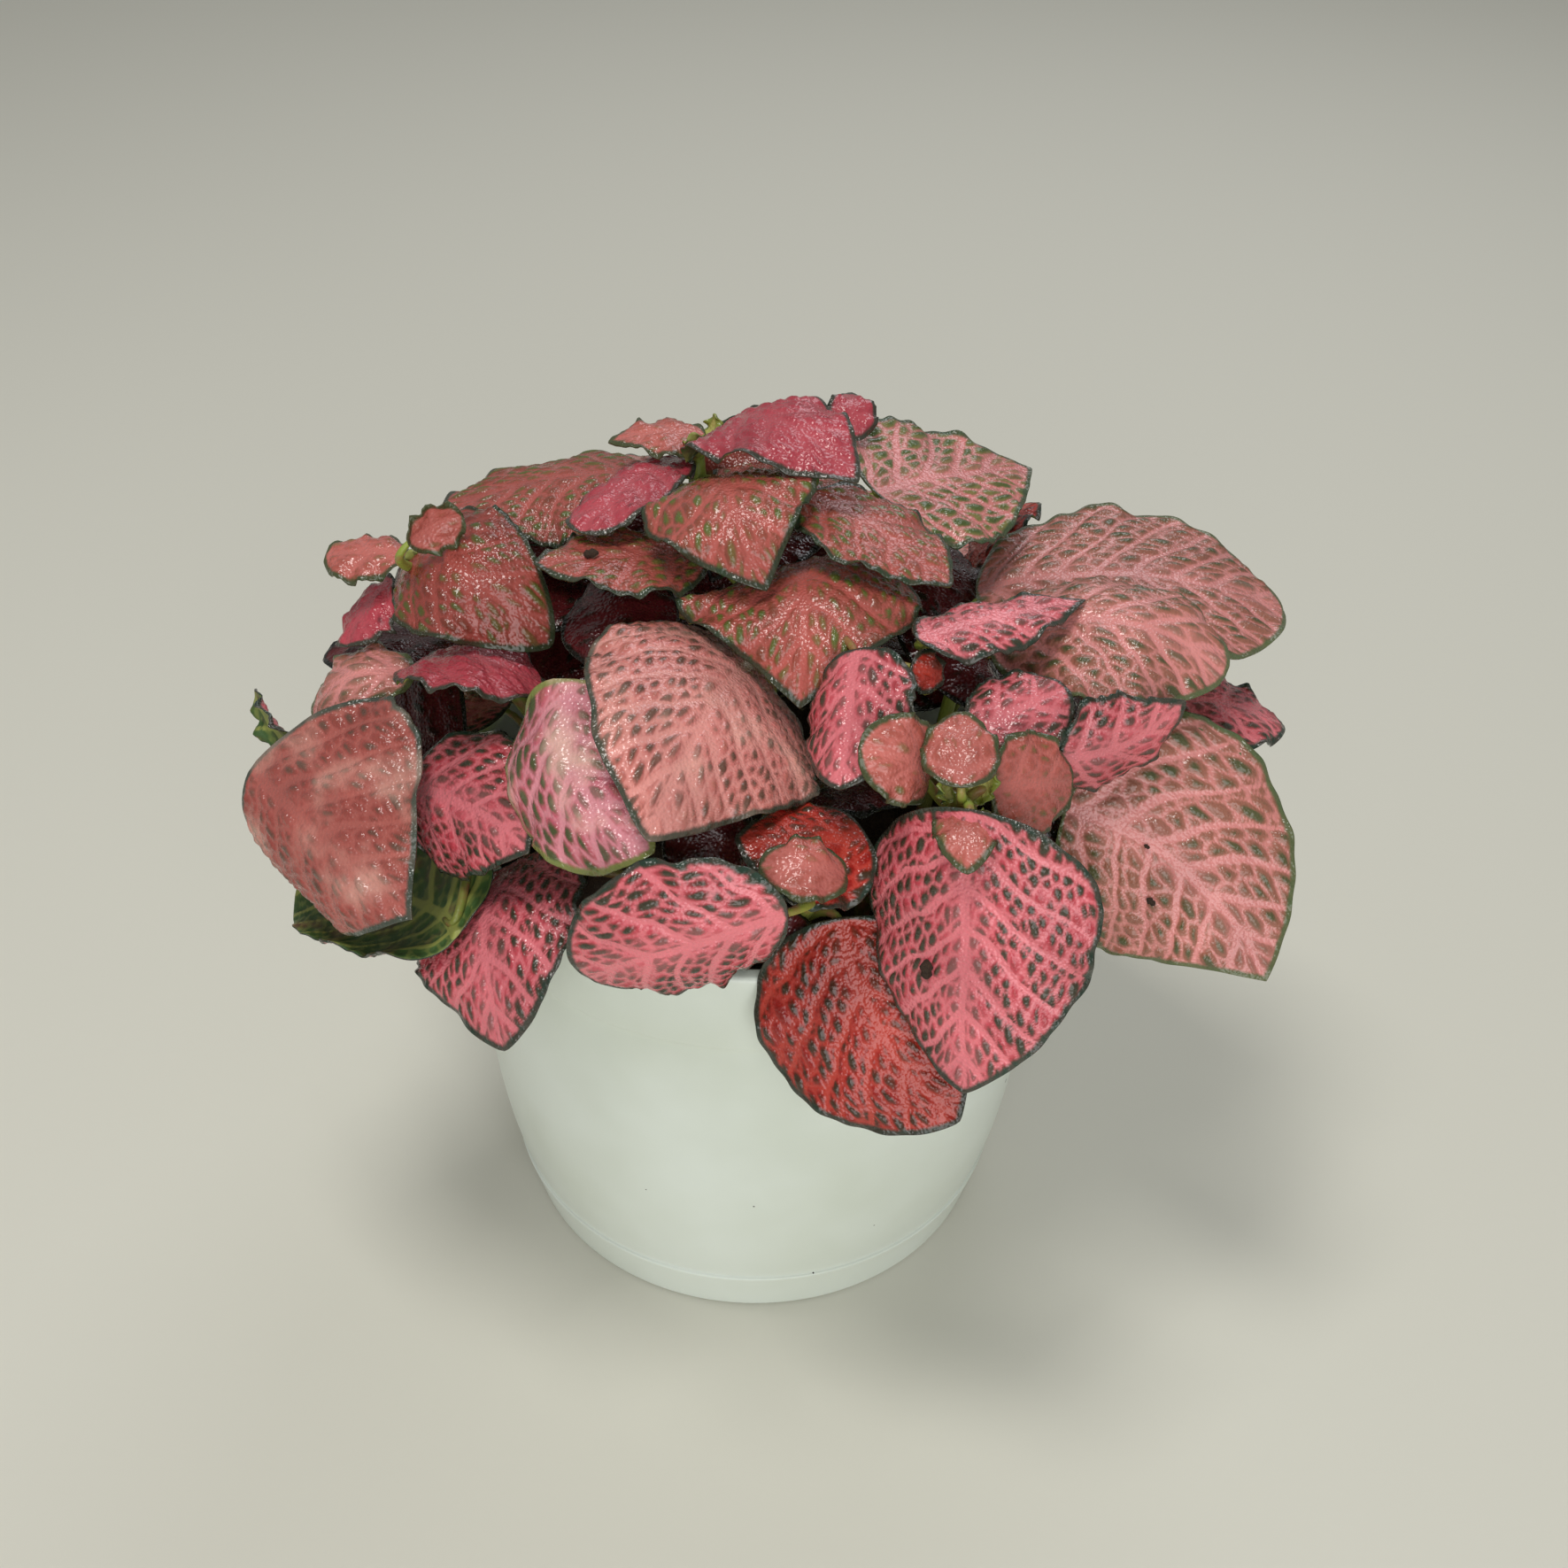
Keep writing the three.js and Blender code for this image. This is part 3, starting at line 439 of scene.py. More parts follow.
@dataclass
class MeshParts:
    """Points, faces, slots and attributes that are gathered into one mesh.

    Attributes:
        points: Blocks of points, in mm.
        faces: Blocks of faces of four corners; a triangle repeats its last corner.
        slots: Material slot of each face, in blocks.
        values: Blocks of values for each named attribute of the points.
        count: Number of points so far.
    """

    points: list[Array] = field(default_factory=list)
    faces: list[Array] = field(default_factory=list)
    slots: list[Array] = field(default_factory=list)
    values: dict[str, list[Array]] = field(default_factory=dict)
    count: int = 0

    def add(self, points: Array, faces: Array, slot: Union[int, Array], **values: Array) -> None:
        """Add a block of points and faces.

        Args:
            points: Points, n by 3.
            faces: Corners counted from the block's first point, m by 4.
            slot: Material slot of these faces, or an array with one slot a face.
            **values: Attribute values of these points, n by 3 each; missing ones become 0.
        """
        self.points.append(points)
        self.faces.append(faces + self.count)
        self.slots.append(np.broadcast_to(np.asarray(slot), (len(faces),)))
        for name in sorted(set(self.values) | set(values)):
            known = self.values.setdefault(name, [np.zeros((self.count, 3))] if self.count else [])
            known.append(values.get(name, np.zeros((len(points), 3))))
        self.count += len(points)

    def build(self, name: str, materials: Sequence[bpy.types.Material]) -> bpy.types.Object:
        """Make the mesh object, in metres, with smooth faces.

        Args:
            name: Name of the object.
            materials: Materials of the slots, in order.

        Returns:
            The object, which sits at the origin and is linked to the scene.
        """
        points = np.concatenate(self.points) * MM
        faces = np.concatenate(self.faces)
        slots = np.concatenate(self.slots)
        sizes = np.where(faces[:, 3] == faces[:, 2], 3, 4)
        corners = faces[np.arange(4)[None, :] < sizes[:, None]]
        starts = np.concatenate([[0], np.cumsum(sizes)[:-1]])

        mesh = bpy.data.meshes.new(name)
        mesh.vertices.add(len(points))
        mesh.loops.add(len(corners))
        mesh.polygons.add(len(faces))
        mesh.vertices.foreach_set("co", points.astype(np.float32).ravel())
        mesh.loops.foreach_set("vertex_index", corners.astype(np.int32))
        for label, numbers in (("loop_start", starts), ("loop_total", sizes), ("material_index", slots)):
            mesh.polygons.foreach_set(label, numbers.astype(np.int32))
        mesh.polygons.foreach_set("use_smooth", np.ones(len(faces), dtype=bool))
        for label, blocks in self.values.items():
            layer = mesh.attributes.new(label, "FLOAT_VECTOR", "POINT")
            layer.data.foreach_set("vector", np.concatenate(blocks).astype(np.float32).ravel())
        for material in materials:
            mesh.materials.append(material)
        mesh.update(calc_edges=True)
        mesh.validate()
        thing = bpy.data.objects.new(name, mesh)
        bpy.context.scene.collection.objects.link(thing)
        return thing


def grid_faces(rows: int, columns: int, closed: bool = False) -> Array:
    """Faces of a grid of points, each running (i, j), (i, j+1), (i+1, j+1), (i+1, j).

    Args:
        rows: Rows of points.
        columns: Columns of points.
        closed: Whether the last column joins the first.

    Returns:
        The faces, n by 4.
    """
    wide = columns if closed else columns - 1
    i, j = np.meshgrid(np.arange(rows - 1), np.arange(wide), indexing="ij")
    after = (j + 1) % columns
    corners = [i * columns + j, i * columns + after, (i + 1) * columns + after, (i + 1) * columns + j]
    return np.stack(corners, axis=-1).reshape(-1, 4)


def ringed_faces(rings: int, sides: int) -> Array:
    """Faces of rings of points that close to a pole at each end.

    Args:
        rings: Rings of points between the poles.
        sides: Points on each ring.

    Returns:
        The faces; the first pole is the point before last, the last pole the last.
    """
    k = np.arange(sides)
    after = (k + 1) % sides
    low, high = np.full(sides, rings * sides), np.full(sides, rings * sides + 1)
    last = (rings - 1) * sides
    start = np.stack([after, k, low, low], axis=-1)
    end = np.stack([last + k, last + after, high, high], axis=-1)
    return np.concatenate([grid_faces(rings, sides, closed=True), start, end])


def tube(path: Array, radii: Array, sides: int) -> tuple[Array, Array]:
    """A closed round tube along a path.

    Each ring of points is the circle of its radius in the plane across the path. The ring's first
    direction is carried along from the ring before it, so that the tube doesn't twist.

    Args:
        path: Points of the centre line, n by 3.
        radii: Radius at each point.
        sides: Points on each ring.

    Returns:
        The points and the faces.
    """
    forward = unit(np.gradient(path, axis=0))
    outs = [unit(np.cross(forward[0], [0.0, 1.0, 0.2]))]
    for k in range(1, len(path)):
        outs.append(unit(outs[-1] - forward[k] * float(outs[-1] @ forward[k])))
    out = np.array(outs)
    other = np.cross(forward, out)
    angle = np.linspace(0, 2 * np.pi, sides, endpoint=False)[None, :, None]
    circle = out[:, None, :] * np.cos(angle) + other[:, None, :] * np.sin(angle)
    rings = path[:, None, :] + circle * radii[:, None, None]
    points = np.concatenate([rings.reshape(-1, 3), path[:1], path[-1:]])
    return points, ringed_faces(len(path), sides)


# ------------------------------------------------------------------ leaves

NEAREST_SEEDS = 4
NO_SPOT = 9.0
LEAST_SPOT = -2.0


@dataclass
class VeinNet:
    """The veins of a flat leaf, as distances in mm.

    The midrib lies along y = 0 from x = 0 to x = length. A side vein that leaves it at x0 runs along
    x = x0 + (lean + spread * x0 / length) * |y| + bow * y * y, so that the lower ones stand out square
    and the upper ones lean to the tip. The rank of a side vein is length / spread *
    asinh(lean + spread * x0 / length), which grows by a millimetre where the side veins are a
    millimetre apart, so even steps of rank give veins that are evenly far apart. Between the side
    veins, a net of finer veins is the set of borders between the nearest of many jittered points.

    Attributes:
        length: Length of the leaf.
        half_width: Half its width.
        tone: Its markings.
        draw: Seeded random draw.
        lean: Slope of a side vein at the leaf's base.
        spread: How much more it slopes at the leaf's tip.
        bow: How its slope grows away from the midrib, per mm.
        side_vein_gap: Distance between side veins.
        fanning: Share by which that distance grows over a leaf's length from the midrib.
        midrib: Half-width of the midrib at the base, and the share of it that is gone at the tip.
        side_vein: Half-width of a side vein at the midrib, and the share of it that is gone at the margin.
        sways: Slow waves that bend the veins: height in mm, and radians per mm along and across.
        straight_near: Distance from the midrib within which the waves calm.
        stretch: Size of a field of the net along the side veins, as a share of the tone's.
        squeeze: Its size across them.
        jitter: How far its middle is moved, as a share of the step.
        roundness: Largest radius of a spot, as a share of the tone's field.
        spot_clear: How much nearer to a large vein than to the net a spot comes.
        reach: How far the net is laid out from the midrib, in half-widths.
        overrun: How many of a leaf's lengths its rows cover, as the side veins lean forward.
    """

    length: float
    half_width: float
    tone: Tone
    draw: np.random.Generator
    lean: float = 0.42
    spread: float = 0.85
    bow: float = 0.008
    side_vein_gap: float = 5.4
    fanning: float = 0.6
    midrib: Pair = (0.85, 0.8)
    side_vein: Pair = (0.42, 0.7)
    sways: tuple[Triple, ...] = ((0.55, 0.0, 0.42), (0.3, 0.9, 0.5), (0.5, 0.35, 0.0), (0.25, 0.3, 0.0))
    straight_near: float = 4.0
    stretch: float = 1.1
    squeeze: float = 0.9
    jitter: float = 0.33
    roundness: float = 0.56
    spot_clear: float = 0.15
    reach: float = 2.2
    overrun: float = 1.5

    def __post_init__(self) -> None:
        """Draw the phases of the waves and the places of each side's first vein."""
        self.phases = self.draw.uniform(0, 2 * np.pi, len(self.sways))
        self.offset = self.draw.uniform(0.35, 0.65, 2)

    def sway(self, which: int, x: Array, y: Array) -> Array:
        """One of the slow waves: height * sin(by_x x + by_y y + phase)."""
        height, by_x, by_y = self.sways[which]
        return height * np.sin(by_x * x + by_y * y + self.phases[which])

    def vein_through(self, x: Array, across: Array) -> tuple[Array, Array]:
        """The rank of the side vein through a point, and how the vein leans there.

        Args:
            x: Place along the leaf.
            across: Distance from the midrib.

        Returns:
            The rank of the start x0 = (x - lean |y| - bow y y) / (1 + spread |y| / length), and the
            slope dx/d|y|.
        """
        start = (x - self.lean * across - self.bow * across**2) / (1 + self.spread * across / self.length)
        rank = self.length / self.spread * np.arcsinh(self.lean + self.spread * start / self.length)
        slope = self.lean + self.spread * start / self.length + 2 * self.bow * across
        return rank, slope

    def net_points(self, side: int) -> Array:
        """The middles of the net's fields on one side.

        They lie on a grid of rows and columns, with every second row moved by half a step and each
        point moved a little at random. A few rows and columns more than needed close the net.

        Args:
            side: 0 or 1.

        Returns:
            Rank and distance along the side vein of each, n by 2.
        """
        step = self.tone.field
        out = int(self.half_width * self.reach / step)
        rows = np.arange(-out - 2, int(self.length / step * self.overrun) + 3)
        columns = np.arange(-1, out + 2)
        p, q = np.meshgrid(rows, columns, indexing="ij")
        shift = self.draw.uniform(-self.jitter, self.jitter, (2,) + p.shape)
        ranks = (p + 0.5 + shift[0]) * step * self.squeeze + self.offset[side] * self.side_vein_gap
        outs = (q + 0.5 + 0.5 * (p % 2) + shift[1]) * step * self.stretch
        return np.stack([ranks.ravel(), outs.ravel()], axis=-1)

    def measure(self, x: Array, y: Array, s: Array) -> dict[str, Array]:
        """Measure the distances from the leaf's points to its veins.

        Args:
            x: Places along the leaf, flat array.
            y: Places across it.
            s: Share of the length, 0 at the base and 1 at the tip.

        Returns:
            main, from the edge of the nearest midrib or side vein, negative inside it; net, from the
            nearest vein of any kind; spot, how far inside a spot.
        """
        calm = np.minimum(1.0, np.abs(y) / self.straight_near)
        bent_x = x + self.sway(0, x, y) * calm + self.sway(1, x, y) * calm
        bent_y = y + self.sway(2, x, y) * calm
        thick, lost = self.midrib
        midrib = np.abs(y + self.sway(3, x, y)) - thick * (1 - lost * s)
        main, net, spot = np.empty_like(x), np.empty_like(x), np.empty_like(x)
        for side, here in enumerate((y < 0, y >= 0)):
            across = np.abs(bent_y[here])
            rank, slope = self.vein_through(bent_x[here], across)
            steps = rank / self.side_vein_gap - self.offset[side]
            fanned = 1 + self.fanning * across / self.length
            off = np.abs(steps - np.round(steps)) * self.side_vein_gap * fanned
            thick, lost = self.side_vein
            lateral = off - thick * (1 - lost * np.minimum(across / self.half_width, 1))
            seeds = self.net_points(side)
            run = across * np.sqrt(1 + slope**2)
            near, border, away = self.nearest_two(np.stack([rank, run], axis=-1), seeds)
            main[here] = np.minimum(midrib[here], lateral)
            net[here] = np.minimum(main[here], border - self.tone.net_width)
            inset = self.draw.uniform(*self.tone.spot_inset, len(seeds))
            inset[self.draw.random(len(seeds)) < self.tone.bare] = NO_SPOT
            edge_of_spot = np.minimum(border, np.minimum(lateral, midrib[here]) + self.spot_clear)
            spot[here] = np.minimum(edge_of_spot, self.roundness * self.tone.field - away) - inset[near]
        return {"main": main, "net": net, "spot": np.maximum(spot, LEAST_SPOT)}

    @staticmethod
    def nearest_two(points: Array, seeds: Array) -> tuple[Array, Array, Array]:
        """Measure points against the cells of their nearest seeds.

        The border between two seeds is the line halfway, so the distance from it is the difference
        of the squared distances over twice the seeds' own distance.

        Args:
            points: The points, n by 2.
            seeds: The seeds, m by 2.

        Returns:
            The nearest seed of each point, and its distances from that cell's border and that seed.
        """
        gaps = ((points[:, None, :] - seeds[None, :, :]) ** 2).sum(axis=-1)
        order = np.argpartition(gaps, NEAREST_SEEDS - 1, axis=1)[:, :NEAREST_SEEDS]
        rank = np.argsort(np.take_along_axis(gaps, order, axis=1), axis=1)
        order = np.take_along_axis(order, rank, axis=1)
        squares = np.take_along_axis(gaps, order, axis=1)
        nearest = order[:, 0]
        borders = []
        for k in range(1, NEAREST_SEEDS):
            apart = np.linalg.norm(seeds[order[:, k]] - seeds[nearest], axis=-1)
            borders.append((squares[:, k] - squares[:, 0]) / (2 * np.maximum(apart, 1e-6)))
        return nearest, np.minimum.reduce(borders), np.sqrt(squares[:, 0])


def fan(line: Array, pole: int, pole_first: bool) -> Array:
    """Triangles from a row of points to a pole.

    Args:
        line: Numbers of the row's points.
        pole: Number of the pole.
        pole_first: Whether the pole leads, which turns the faces over.

    Returns:
        The faces.
    """
    a, b = line[:-1], line[1:]
    tip = np.full_like(a, pole)
    return np.stack([tip, b, a, a] if pole_first else [a, b, tip, tip], axis=-1)


def blade_faces(rows: int, wide: int, narrow: int) -> tuple[Array, Array]:
    """Faces of a blade's upper face with the margin round it, and of its underside.

    The points are the grid of the upper face, the grid of the underside, and the two ends.

    Args:
        rows: Rows of points on both faces.
        wide: Points in a row of the upper face.
        narrow: Points in a row of the underside.

    Returns:
        The faces of the upper face and the margin, and those of the underside.
    """
    shift, low = rows * wide, (rows - 1) * narrow
    start = shift + rows * narrow
    end = start + 1
    i = np.arange(rows)
    right = np.stack([i * wide + wide - 1, shift + i * narrow + narrow - 1], axis=-1)
    left = np.stack([shift + i * narrow, i * wide], axis=-1)
    margins = [np.concatenate([line[:-1], line[1:, ::-1]], axis=-1) for line in (right, left)]
    across, back = np.arange(wide), shift + np.arange(narrow)[::-1]
    closings = ((across, start), (across + (rows - 1) * wide, end), (right[0], start), (left[0], start),
                (right[-1], end), (left[-1], end))
    upper = [grid_faces(rows, wide), *margins, *(fan(line, pole, pole == start) for line, pole in closings)]
    lower = [grid_faces(rows, narrow)[:, ::-1] + shift, fan(back, start, True), fan(back + low, end, False)]
    return np.concatenate(upper), np.concatenate(lower)


@dataclass
class Blade:
    """The blade of one leaf as a fine closed mesh.

    A point of the middle surface is given by s, from 0 at the base to 1 at the tip, and t, from -1 to 1
    across. The midrib is a quadratic curve from base to tip. Half-widths follow s^round (1-s)^point. Each
    half bends down as an arc that turns by curl at the margin, and the margin waves a few times.

    Attributes:
        leaf: The leaf's plan.
        draw: Seeded random draw.
        thickness: Thickness in the middle of the blade.
        waves: Waves on each margin.
        wave_shift: How far those of the two margins are out of step, in radians.
        crimps: Small up and down waves of the margin: height, waves on each margin, and how far
            out of step the two are.
        notches: The same in and out, as a share of the half-width.
        full_crimps: Width of a leaf whose crimps are full; on smaller ones they are less.
        relief: How far the fields between the veins are puffed up, and how far from a vein.
        groove: Depth and half-width of the groove over the midrib and each side vein.
        rib: Height and half-width of the midrib on the underside.
        calm_margin: Width along the margin in which the relief fades.
        arch_share: Length along the arched midrib, as a share of the straight line.
        row_bunching: How much the rows of points are crowded towards the ends.
        least_rows: Fewest steps along the blade.
        least_columns: Fewest steps from the midrib to the margin, on the upper face and the underside.
        coarser_below: How many times fewer steps the underside has across.
    """

    leaf: Leaf
    draw: np.random.Generator
    thickness: float = 0.5
    waves: int = 3
    wave_shift: float = 1.9
    crimps: tuple[Triple, ...] = ((0.4, 5.3, 2.0), (0.3, 9.7, 4.0))
    notches: tuple[Triple, ...] = ((0.012, 4.1, 3.0), (0.008, 10.3, 1.0))
    full_crimps: float = 20.0
    relief: Pair = (0.5, 0.8)
    groove: Pair = (0.22, 0.7)
    rib: Pair = (0.45, 0.75)
    calm_margin: float = 1.5
    arch_share: float = 1.08
    row_bunching: float = 0.35
    least_rows: int = 14
    least_columns: tuple[int, int] = (5, 4)
    coarser_below: int = 3

    def __post_init__(self) -> None:
        """Work out the leaf's own directions, and draw the phases that its crimps and notches take."""
        self.base = np.array(self.leaf.base, dtype=float)
        self.tip = np.array(self.leaf.tip, dtype=float)
        along = unit(self.tip - self.base)
        self.face = turned_about(upward_face(along), along, math.radians(self.leaf.roll))
        side = np.cross(along, self.face)
        middle = (self.base + self.tip) / 2
        self.control = middle + 2 * self.leaf.arch * self.face + 2 * self.leaf.sweep * side
        self.length = float(np.linalg.norm(self.tip - self.base))
        self.phases = self.draw.uniform(0, 2 * np.pi, 6)

    def half_width(self, s: Array) -> tuple[Array, Array]:
        """Half-width along the blade: s^round (1-s)^point over its greatest value.

        Args:
            s: Places along the blade.

        Returns:
            The half-width as a share of the largest, and in mm.
        """
        a, b = self.leaf.round, self.leaf.point
        widest = a / (a + b)
        most = widest**a * (1 - widest) ** b
        share = np.clip(s, 0, 1) ** a * np.clip(1 - s, 0, 1) ** b / most
        return share, self.leaf.width / 2 * share

    def surface(self, s: Array, t: Array, fine: bool = True) -> tuple[Array, Array, Array]:
        """Points of the middle surface, the directions it faces, and the midrib's directions.

        The waves grow as |t|^2.5 towards the margin, the crimps as |t|^7 and the notches as |t|^3. Waves
        and crimps calm at the two ends, where the blade is narrower than two thirds of its width.

        Args:
            s: Places along the blade.
            t: Places across it, same shape.
            fine: Whether the margin has its small crimps as well as its waves.

        Returns:
            The points, the facing directions and the forward directions.
        """
        leaf = self.leaf
        u = s[..., None]
        midrib = (1 - u) ** 2 * self.base + 2 * u * (1 - u) * self.control + u**2 * self.tip
        forward = unit(2 * (1 - u) * (self.control - self.base) + 2 * u * (self.tip - self.control))
        normal = unit(self.face - forward * (forward @ self.face)[..., None])
        across = np.cross(forward, normal)
        full, half_width = self.half_width(s)
        reach = half_width * np.abs(t)
        bend = np.radians(np.where(t < 0, leaf.curl[0], leaf.curl[1])) * np.abs(t) * full
        bend = np.where(np.abs(bend) < 1e-6, 1e-6, bend)
        outward = reach * np.sin(bend) / bend
        drop = reach * (1 - np.cos(bend)) / bend
        calm = np.minimum(1, 1.5 * full)
        phase = 2 * np.pi * self.waves * s + np.where(t > 0, self.wave_shift, 0)
        lift = leaf.wave * np.abs(t) ** 2.5 * np.sin(phase) * calm
        if fine:
            edge = np.abs(t) ** 7 * calm * min(1.0, leaf.width / self.full_crimps)
            right = np.where(t > 0, 1.0, 0.0)
            ripples = [
                (size, np.sin(2 * np.pi * times * s + start + shift * right))
                for (size, times, shift), start in zip(self.crimps + self.notches, self.phases)
            ]
            for height, ripple in ripples[: len(self.crimps)]:
                lift = lift + height * edge * ripple
            for depth, ripple in ripples[len(self.crimps) :]:
                outward = outward * (1 + depth * np.abs(t) ** 3 * ripple)
        points = midrib + across * (outward * np.sign(t))[..., None] + normal * (lift - drop)[..., None]
        facing = normal * np.cos(bend)[..., None] + across * (np.sin(bend) * np.sign(t))[..., None]
        return points, unit(facing), forward

    def layer(self, veins: VeinNet, s_line: Array, columns: int, side: float) -> dict[str, Array]:
        """One face of the blade: its points, and what its materials need to know of them.

        The face is the middle surface moved half the thickness along its facing direction, and half of
        that at the margin, where it thins as |t|^8. A field is puffed up by relief * (1 - exp(-(distance
        from the net / width)^2)), the veins lie in grooves on the upper face, and the midrib stands out as
        a round rib on the underside.

        Args:
            veins: The leaf's veins.
            s_line: Places of the rows along the blade.
            columns: Points across it.
            side: 1 for the upper face, -1 for the underside.

        Returns:
            The points, and the distances that the veins and the margin give for each.
        """
        s, t = np.meshgrid(s_line, np.linspace(-1, 1, columns), indexing="ij")
        points, facing, _ = self.surface(s, t)
        width_here = self.half_width(s)[1]
        x, y = s * self.length, t * width_here
        measured = veins.measure(x.ravel(), y.ravel(), s.ravel())
        found = {name: values.reshape(s.shape) for name, values in measured.items()}
        slope = np.gradient(width_here, x[:, 0], axis=0)
        margin = (1 - np.abs(t)) * width_here / np.sqrt(1 + slope**2)

        def hump(distance: Array, width: float) -> Array:
            """A round hump of height 1 over a vein: exp(-(distance / width)^2)."""
            return np.exp(-((distance / width) ** 2))

        puff = self.relief[0] * (1 - hump(np.maximum(found["net"], 0), self.relief[1]))
        groove = self.groove[0] * hump(np.maximum(found["main"], 0), self.groove[1])
        rib = self.rib[0] * (1 - s) * hump(y, self.rib[1]) if side < 0 else 0.0
        shape = side * (puff - groove) * np.minimum(1, margin / self.calm_margin) + rib
        half = self.thickness / 2 * (1 - 0.5 * np.abs(t) ** 8) + shape
        return {
            **found, "cell": found["net"] - self.leaf.kind.value.cell_inset, "edge": margin, "x": x, "y": y,
            "points": points + side * facing * half[..., None],
        }

    def add_crumbs(self, parts: MeshParts, slot: int) -> None:
        """Add the crumbs of soil that lie on the upper face, as short knobbly grains.

        Args:
            parts: What they are added to.
            slot: Material slot of the soil.
        """
        grain = np.array([0.2, 0.5, 0.75, 0.5, 0.62, 0.25])
        for s, t, half in self.leaf.crumbs:
            points, facing, forward = self.surface(np.array([s]), np.array([t]))
            middle = points[0] + facing[0] * (self.thickness / 2 + self.relief[0])
            line = middle + forward[0] * half * np.linspace(-1, 1, len(grain))[:, None]
            parts.add(*tube(line, half * grain, 9), slot)

    def add_to(self, parts: MeshParts, upper_slot: int, under_slot: int) -> None:
        """Add the blade's mesh: the upper face, the underside and the margin that joins them.

        Args:
            parts: What the mesh is added to.
            upper_slot: Material slot of the upper face and the margin.
            under_slot: Material slot of the underside.
        """
        leaf, tone = self.leaf, self.leaf.kind.value
        rows = max(self.least_rows, round(self.length * self.arch_share / leaf.fine)) - 1
        wide = 2 * max(self.least_columns[0], round(leaf.width / 2 / leaf.fine)) + 1
        narrow = 2 * max(self.least_columns[1], round(wide / (2 * self.coarser_below))) + 1
        even = np.linspace(0, 1, rows + 2)[1:-1]
        crowded = (1 - np.cos(np.pi * even)) / 2
        s_line = (1 - self.row_bunching) * even + self.row_bunching * crowded
        veins = VeinNet(self.length, leaf.width / 2, tone, self.draw)
        top = self.layer(veins, s_line, wide, 1.0)
        under = self.layer(veins, s_line, narrow, -1.0)
        ends = self.surface(np.array([0.0, 1.0]), np.zeros(2))[0]
        upper, lower = blade_faces(rows, wide, narrow)
        slots = np.repeat([upper_slot, under_slot], [len(upper), len(lower)])

        def joined(name: str, at_base: float, at_tip: float) -> Array:
            """Values of the upper face, the underside and the two ends in one row."""
            return np.concatenate([top[name].ravel(), under[name].ravel(), [at_base, at_tip]])

        points = np.concatenate([top["points"].reshape(-1, 3), under["points"].reshape(-1, 3), ends])
        nought = np.zeros(len(points))
        from_midrib = joined("y", 0, 0)
        spot = joined("spot", LEAST_SPOT, LEAST_SPOT)
        lines = joined("main", -0.5, -0.1), joined("net", -0.5, -0.1), spot
        place = joined("edge", 0, 0), np.abs(from_midrib), joined("cell", -1, -1)
        apart = self.draw.uniform(0, 400, 2)
        flat = joined("x", 0, self.length) + apart[0], from_midrib + apart[1], nought
        pale = nought + tone.pale, nought, nought
        values = {"lines": lines, "place": place, "flat": flat, "pale": pale}
        shade = self.draw.uniform(0.93, 1.07)
        for name in COLOURS:
            colour = np.array(linear(getattr(tone, name))[:3]) * shade
            values["tint_" + name] = [nought + channel for channel in colour]
        parts.add(points, np.concatenate([upper, lower]), slots,
                  **{name: np.stack(value, axis=-1) for name, value in values.items()})


# ------------------------------------------------------------------ materials

Feed = Union[bpy.types.Node, bpy.types.NodeSocket]
NodeMaker = Callable[..., bpy.types.Node]
Recipe = tuple[dict[str, object], dict[str, Feed]]
RGBA = {"data_type": "RGBA"}
SMOOTH = {"interpolation_type": "SMOOTHSTEP"}


def add_node(
    tree: bpy.types.NodeTree,
    kind: str,
    settings: Optional[dict[object, object]] = None,
    links: Optional[dict[object, Feed]] = None,
) -> bpy.types.Node:
    """Add a node with its settings and links.

    Args:
        tree: The material's nodes.
        kind: Type of node, without the leading ShaderNode.
        settings: Its own properties, by name, and then values of its input sockets, by name or number.
        links: What feeds its inputs, by the input's name or number: a socket, or a node for that node's
            first output that is in use.

    Returns:
        The node.
    """
    node = tree.nodes.new("ShaderNode" + kind)
    settings = settings or {}
    own = [key for key in settings if isinstance(key, str) and hasattr(node, key)]
    for key in own:
        setattr(node, key, settings[key])
    for key, value in settings.items():
        if key not in own:
            node.inputs[key].default_value = value
    for key, source in (links or {}).items():
        if isinstance(source, bpy.types.Node):
            source = next(output for output in source.outputs if output.enabled)
        tree.links.new(source, node.inputs[key])
    return node


class Finish:
    """A finish of a surface, named for its real material."""

    label = "finish"

    def surface(self, node: NodeMaker) -> Recipe:
        """Describe the surface by one shader and the nodes before it.

        Args:
            node: Adds a node to the material.

        Returns:
            Settings of the shader, and what feeds it.
        """
        raise NotImplementedError

    def build(self) -> bpy.types.Material:
        """Make the material, with one surface shader joined to its output.

        Returns:
            The material.
        """
        material = bpy.data.materials.new(self.label)
        material.use_nodes = True
        material.node_tree.nodes.clear()
        node = partial(add_node, material.node_tree)
        node("OutputMaterial", {}, {"Surface": node("BsdfPrincipled", *self.surface(node))})
        return material


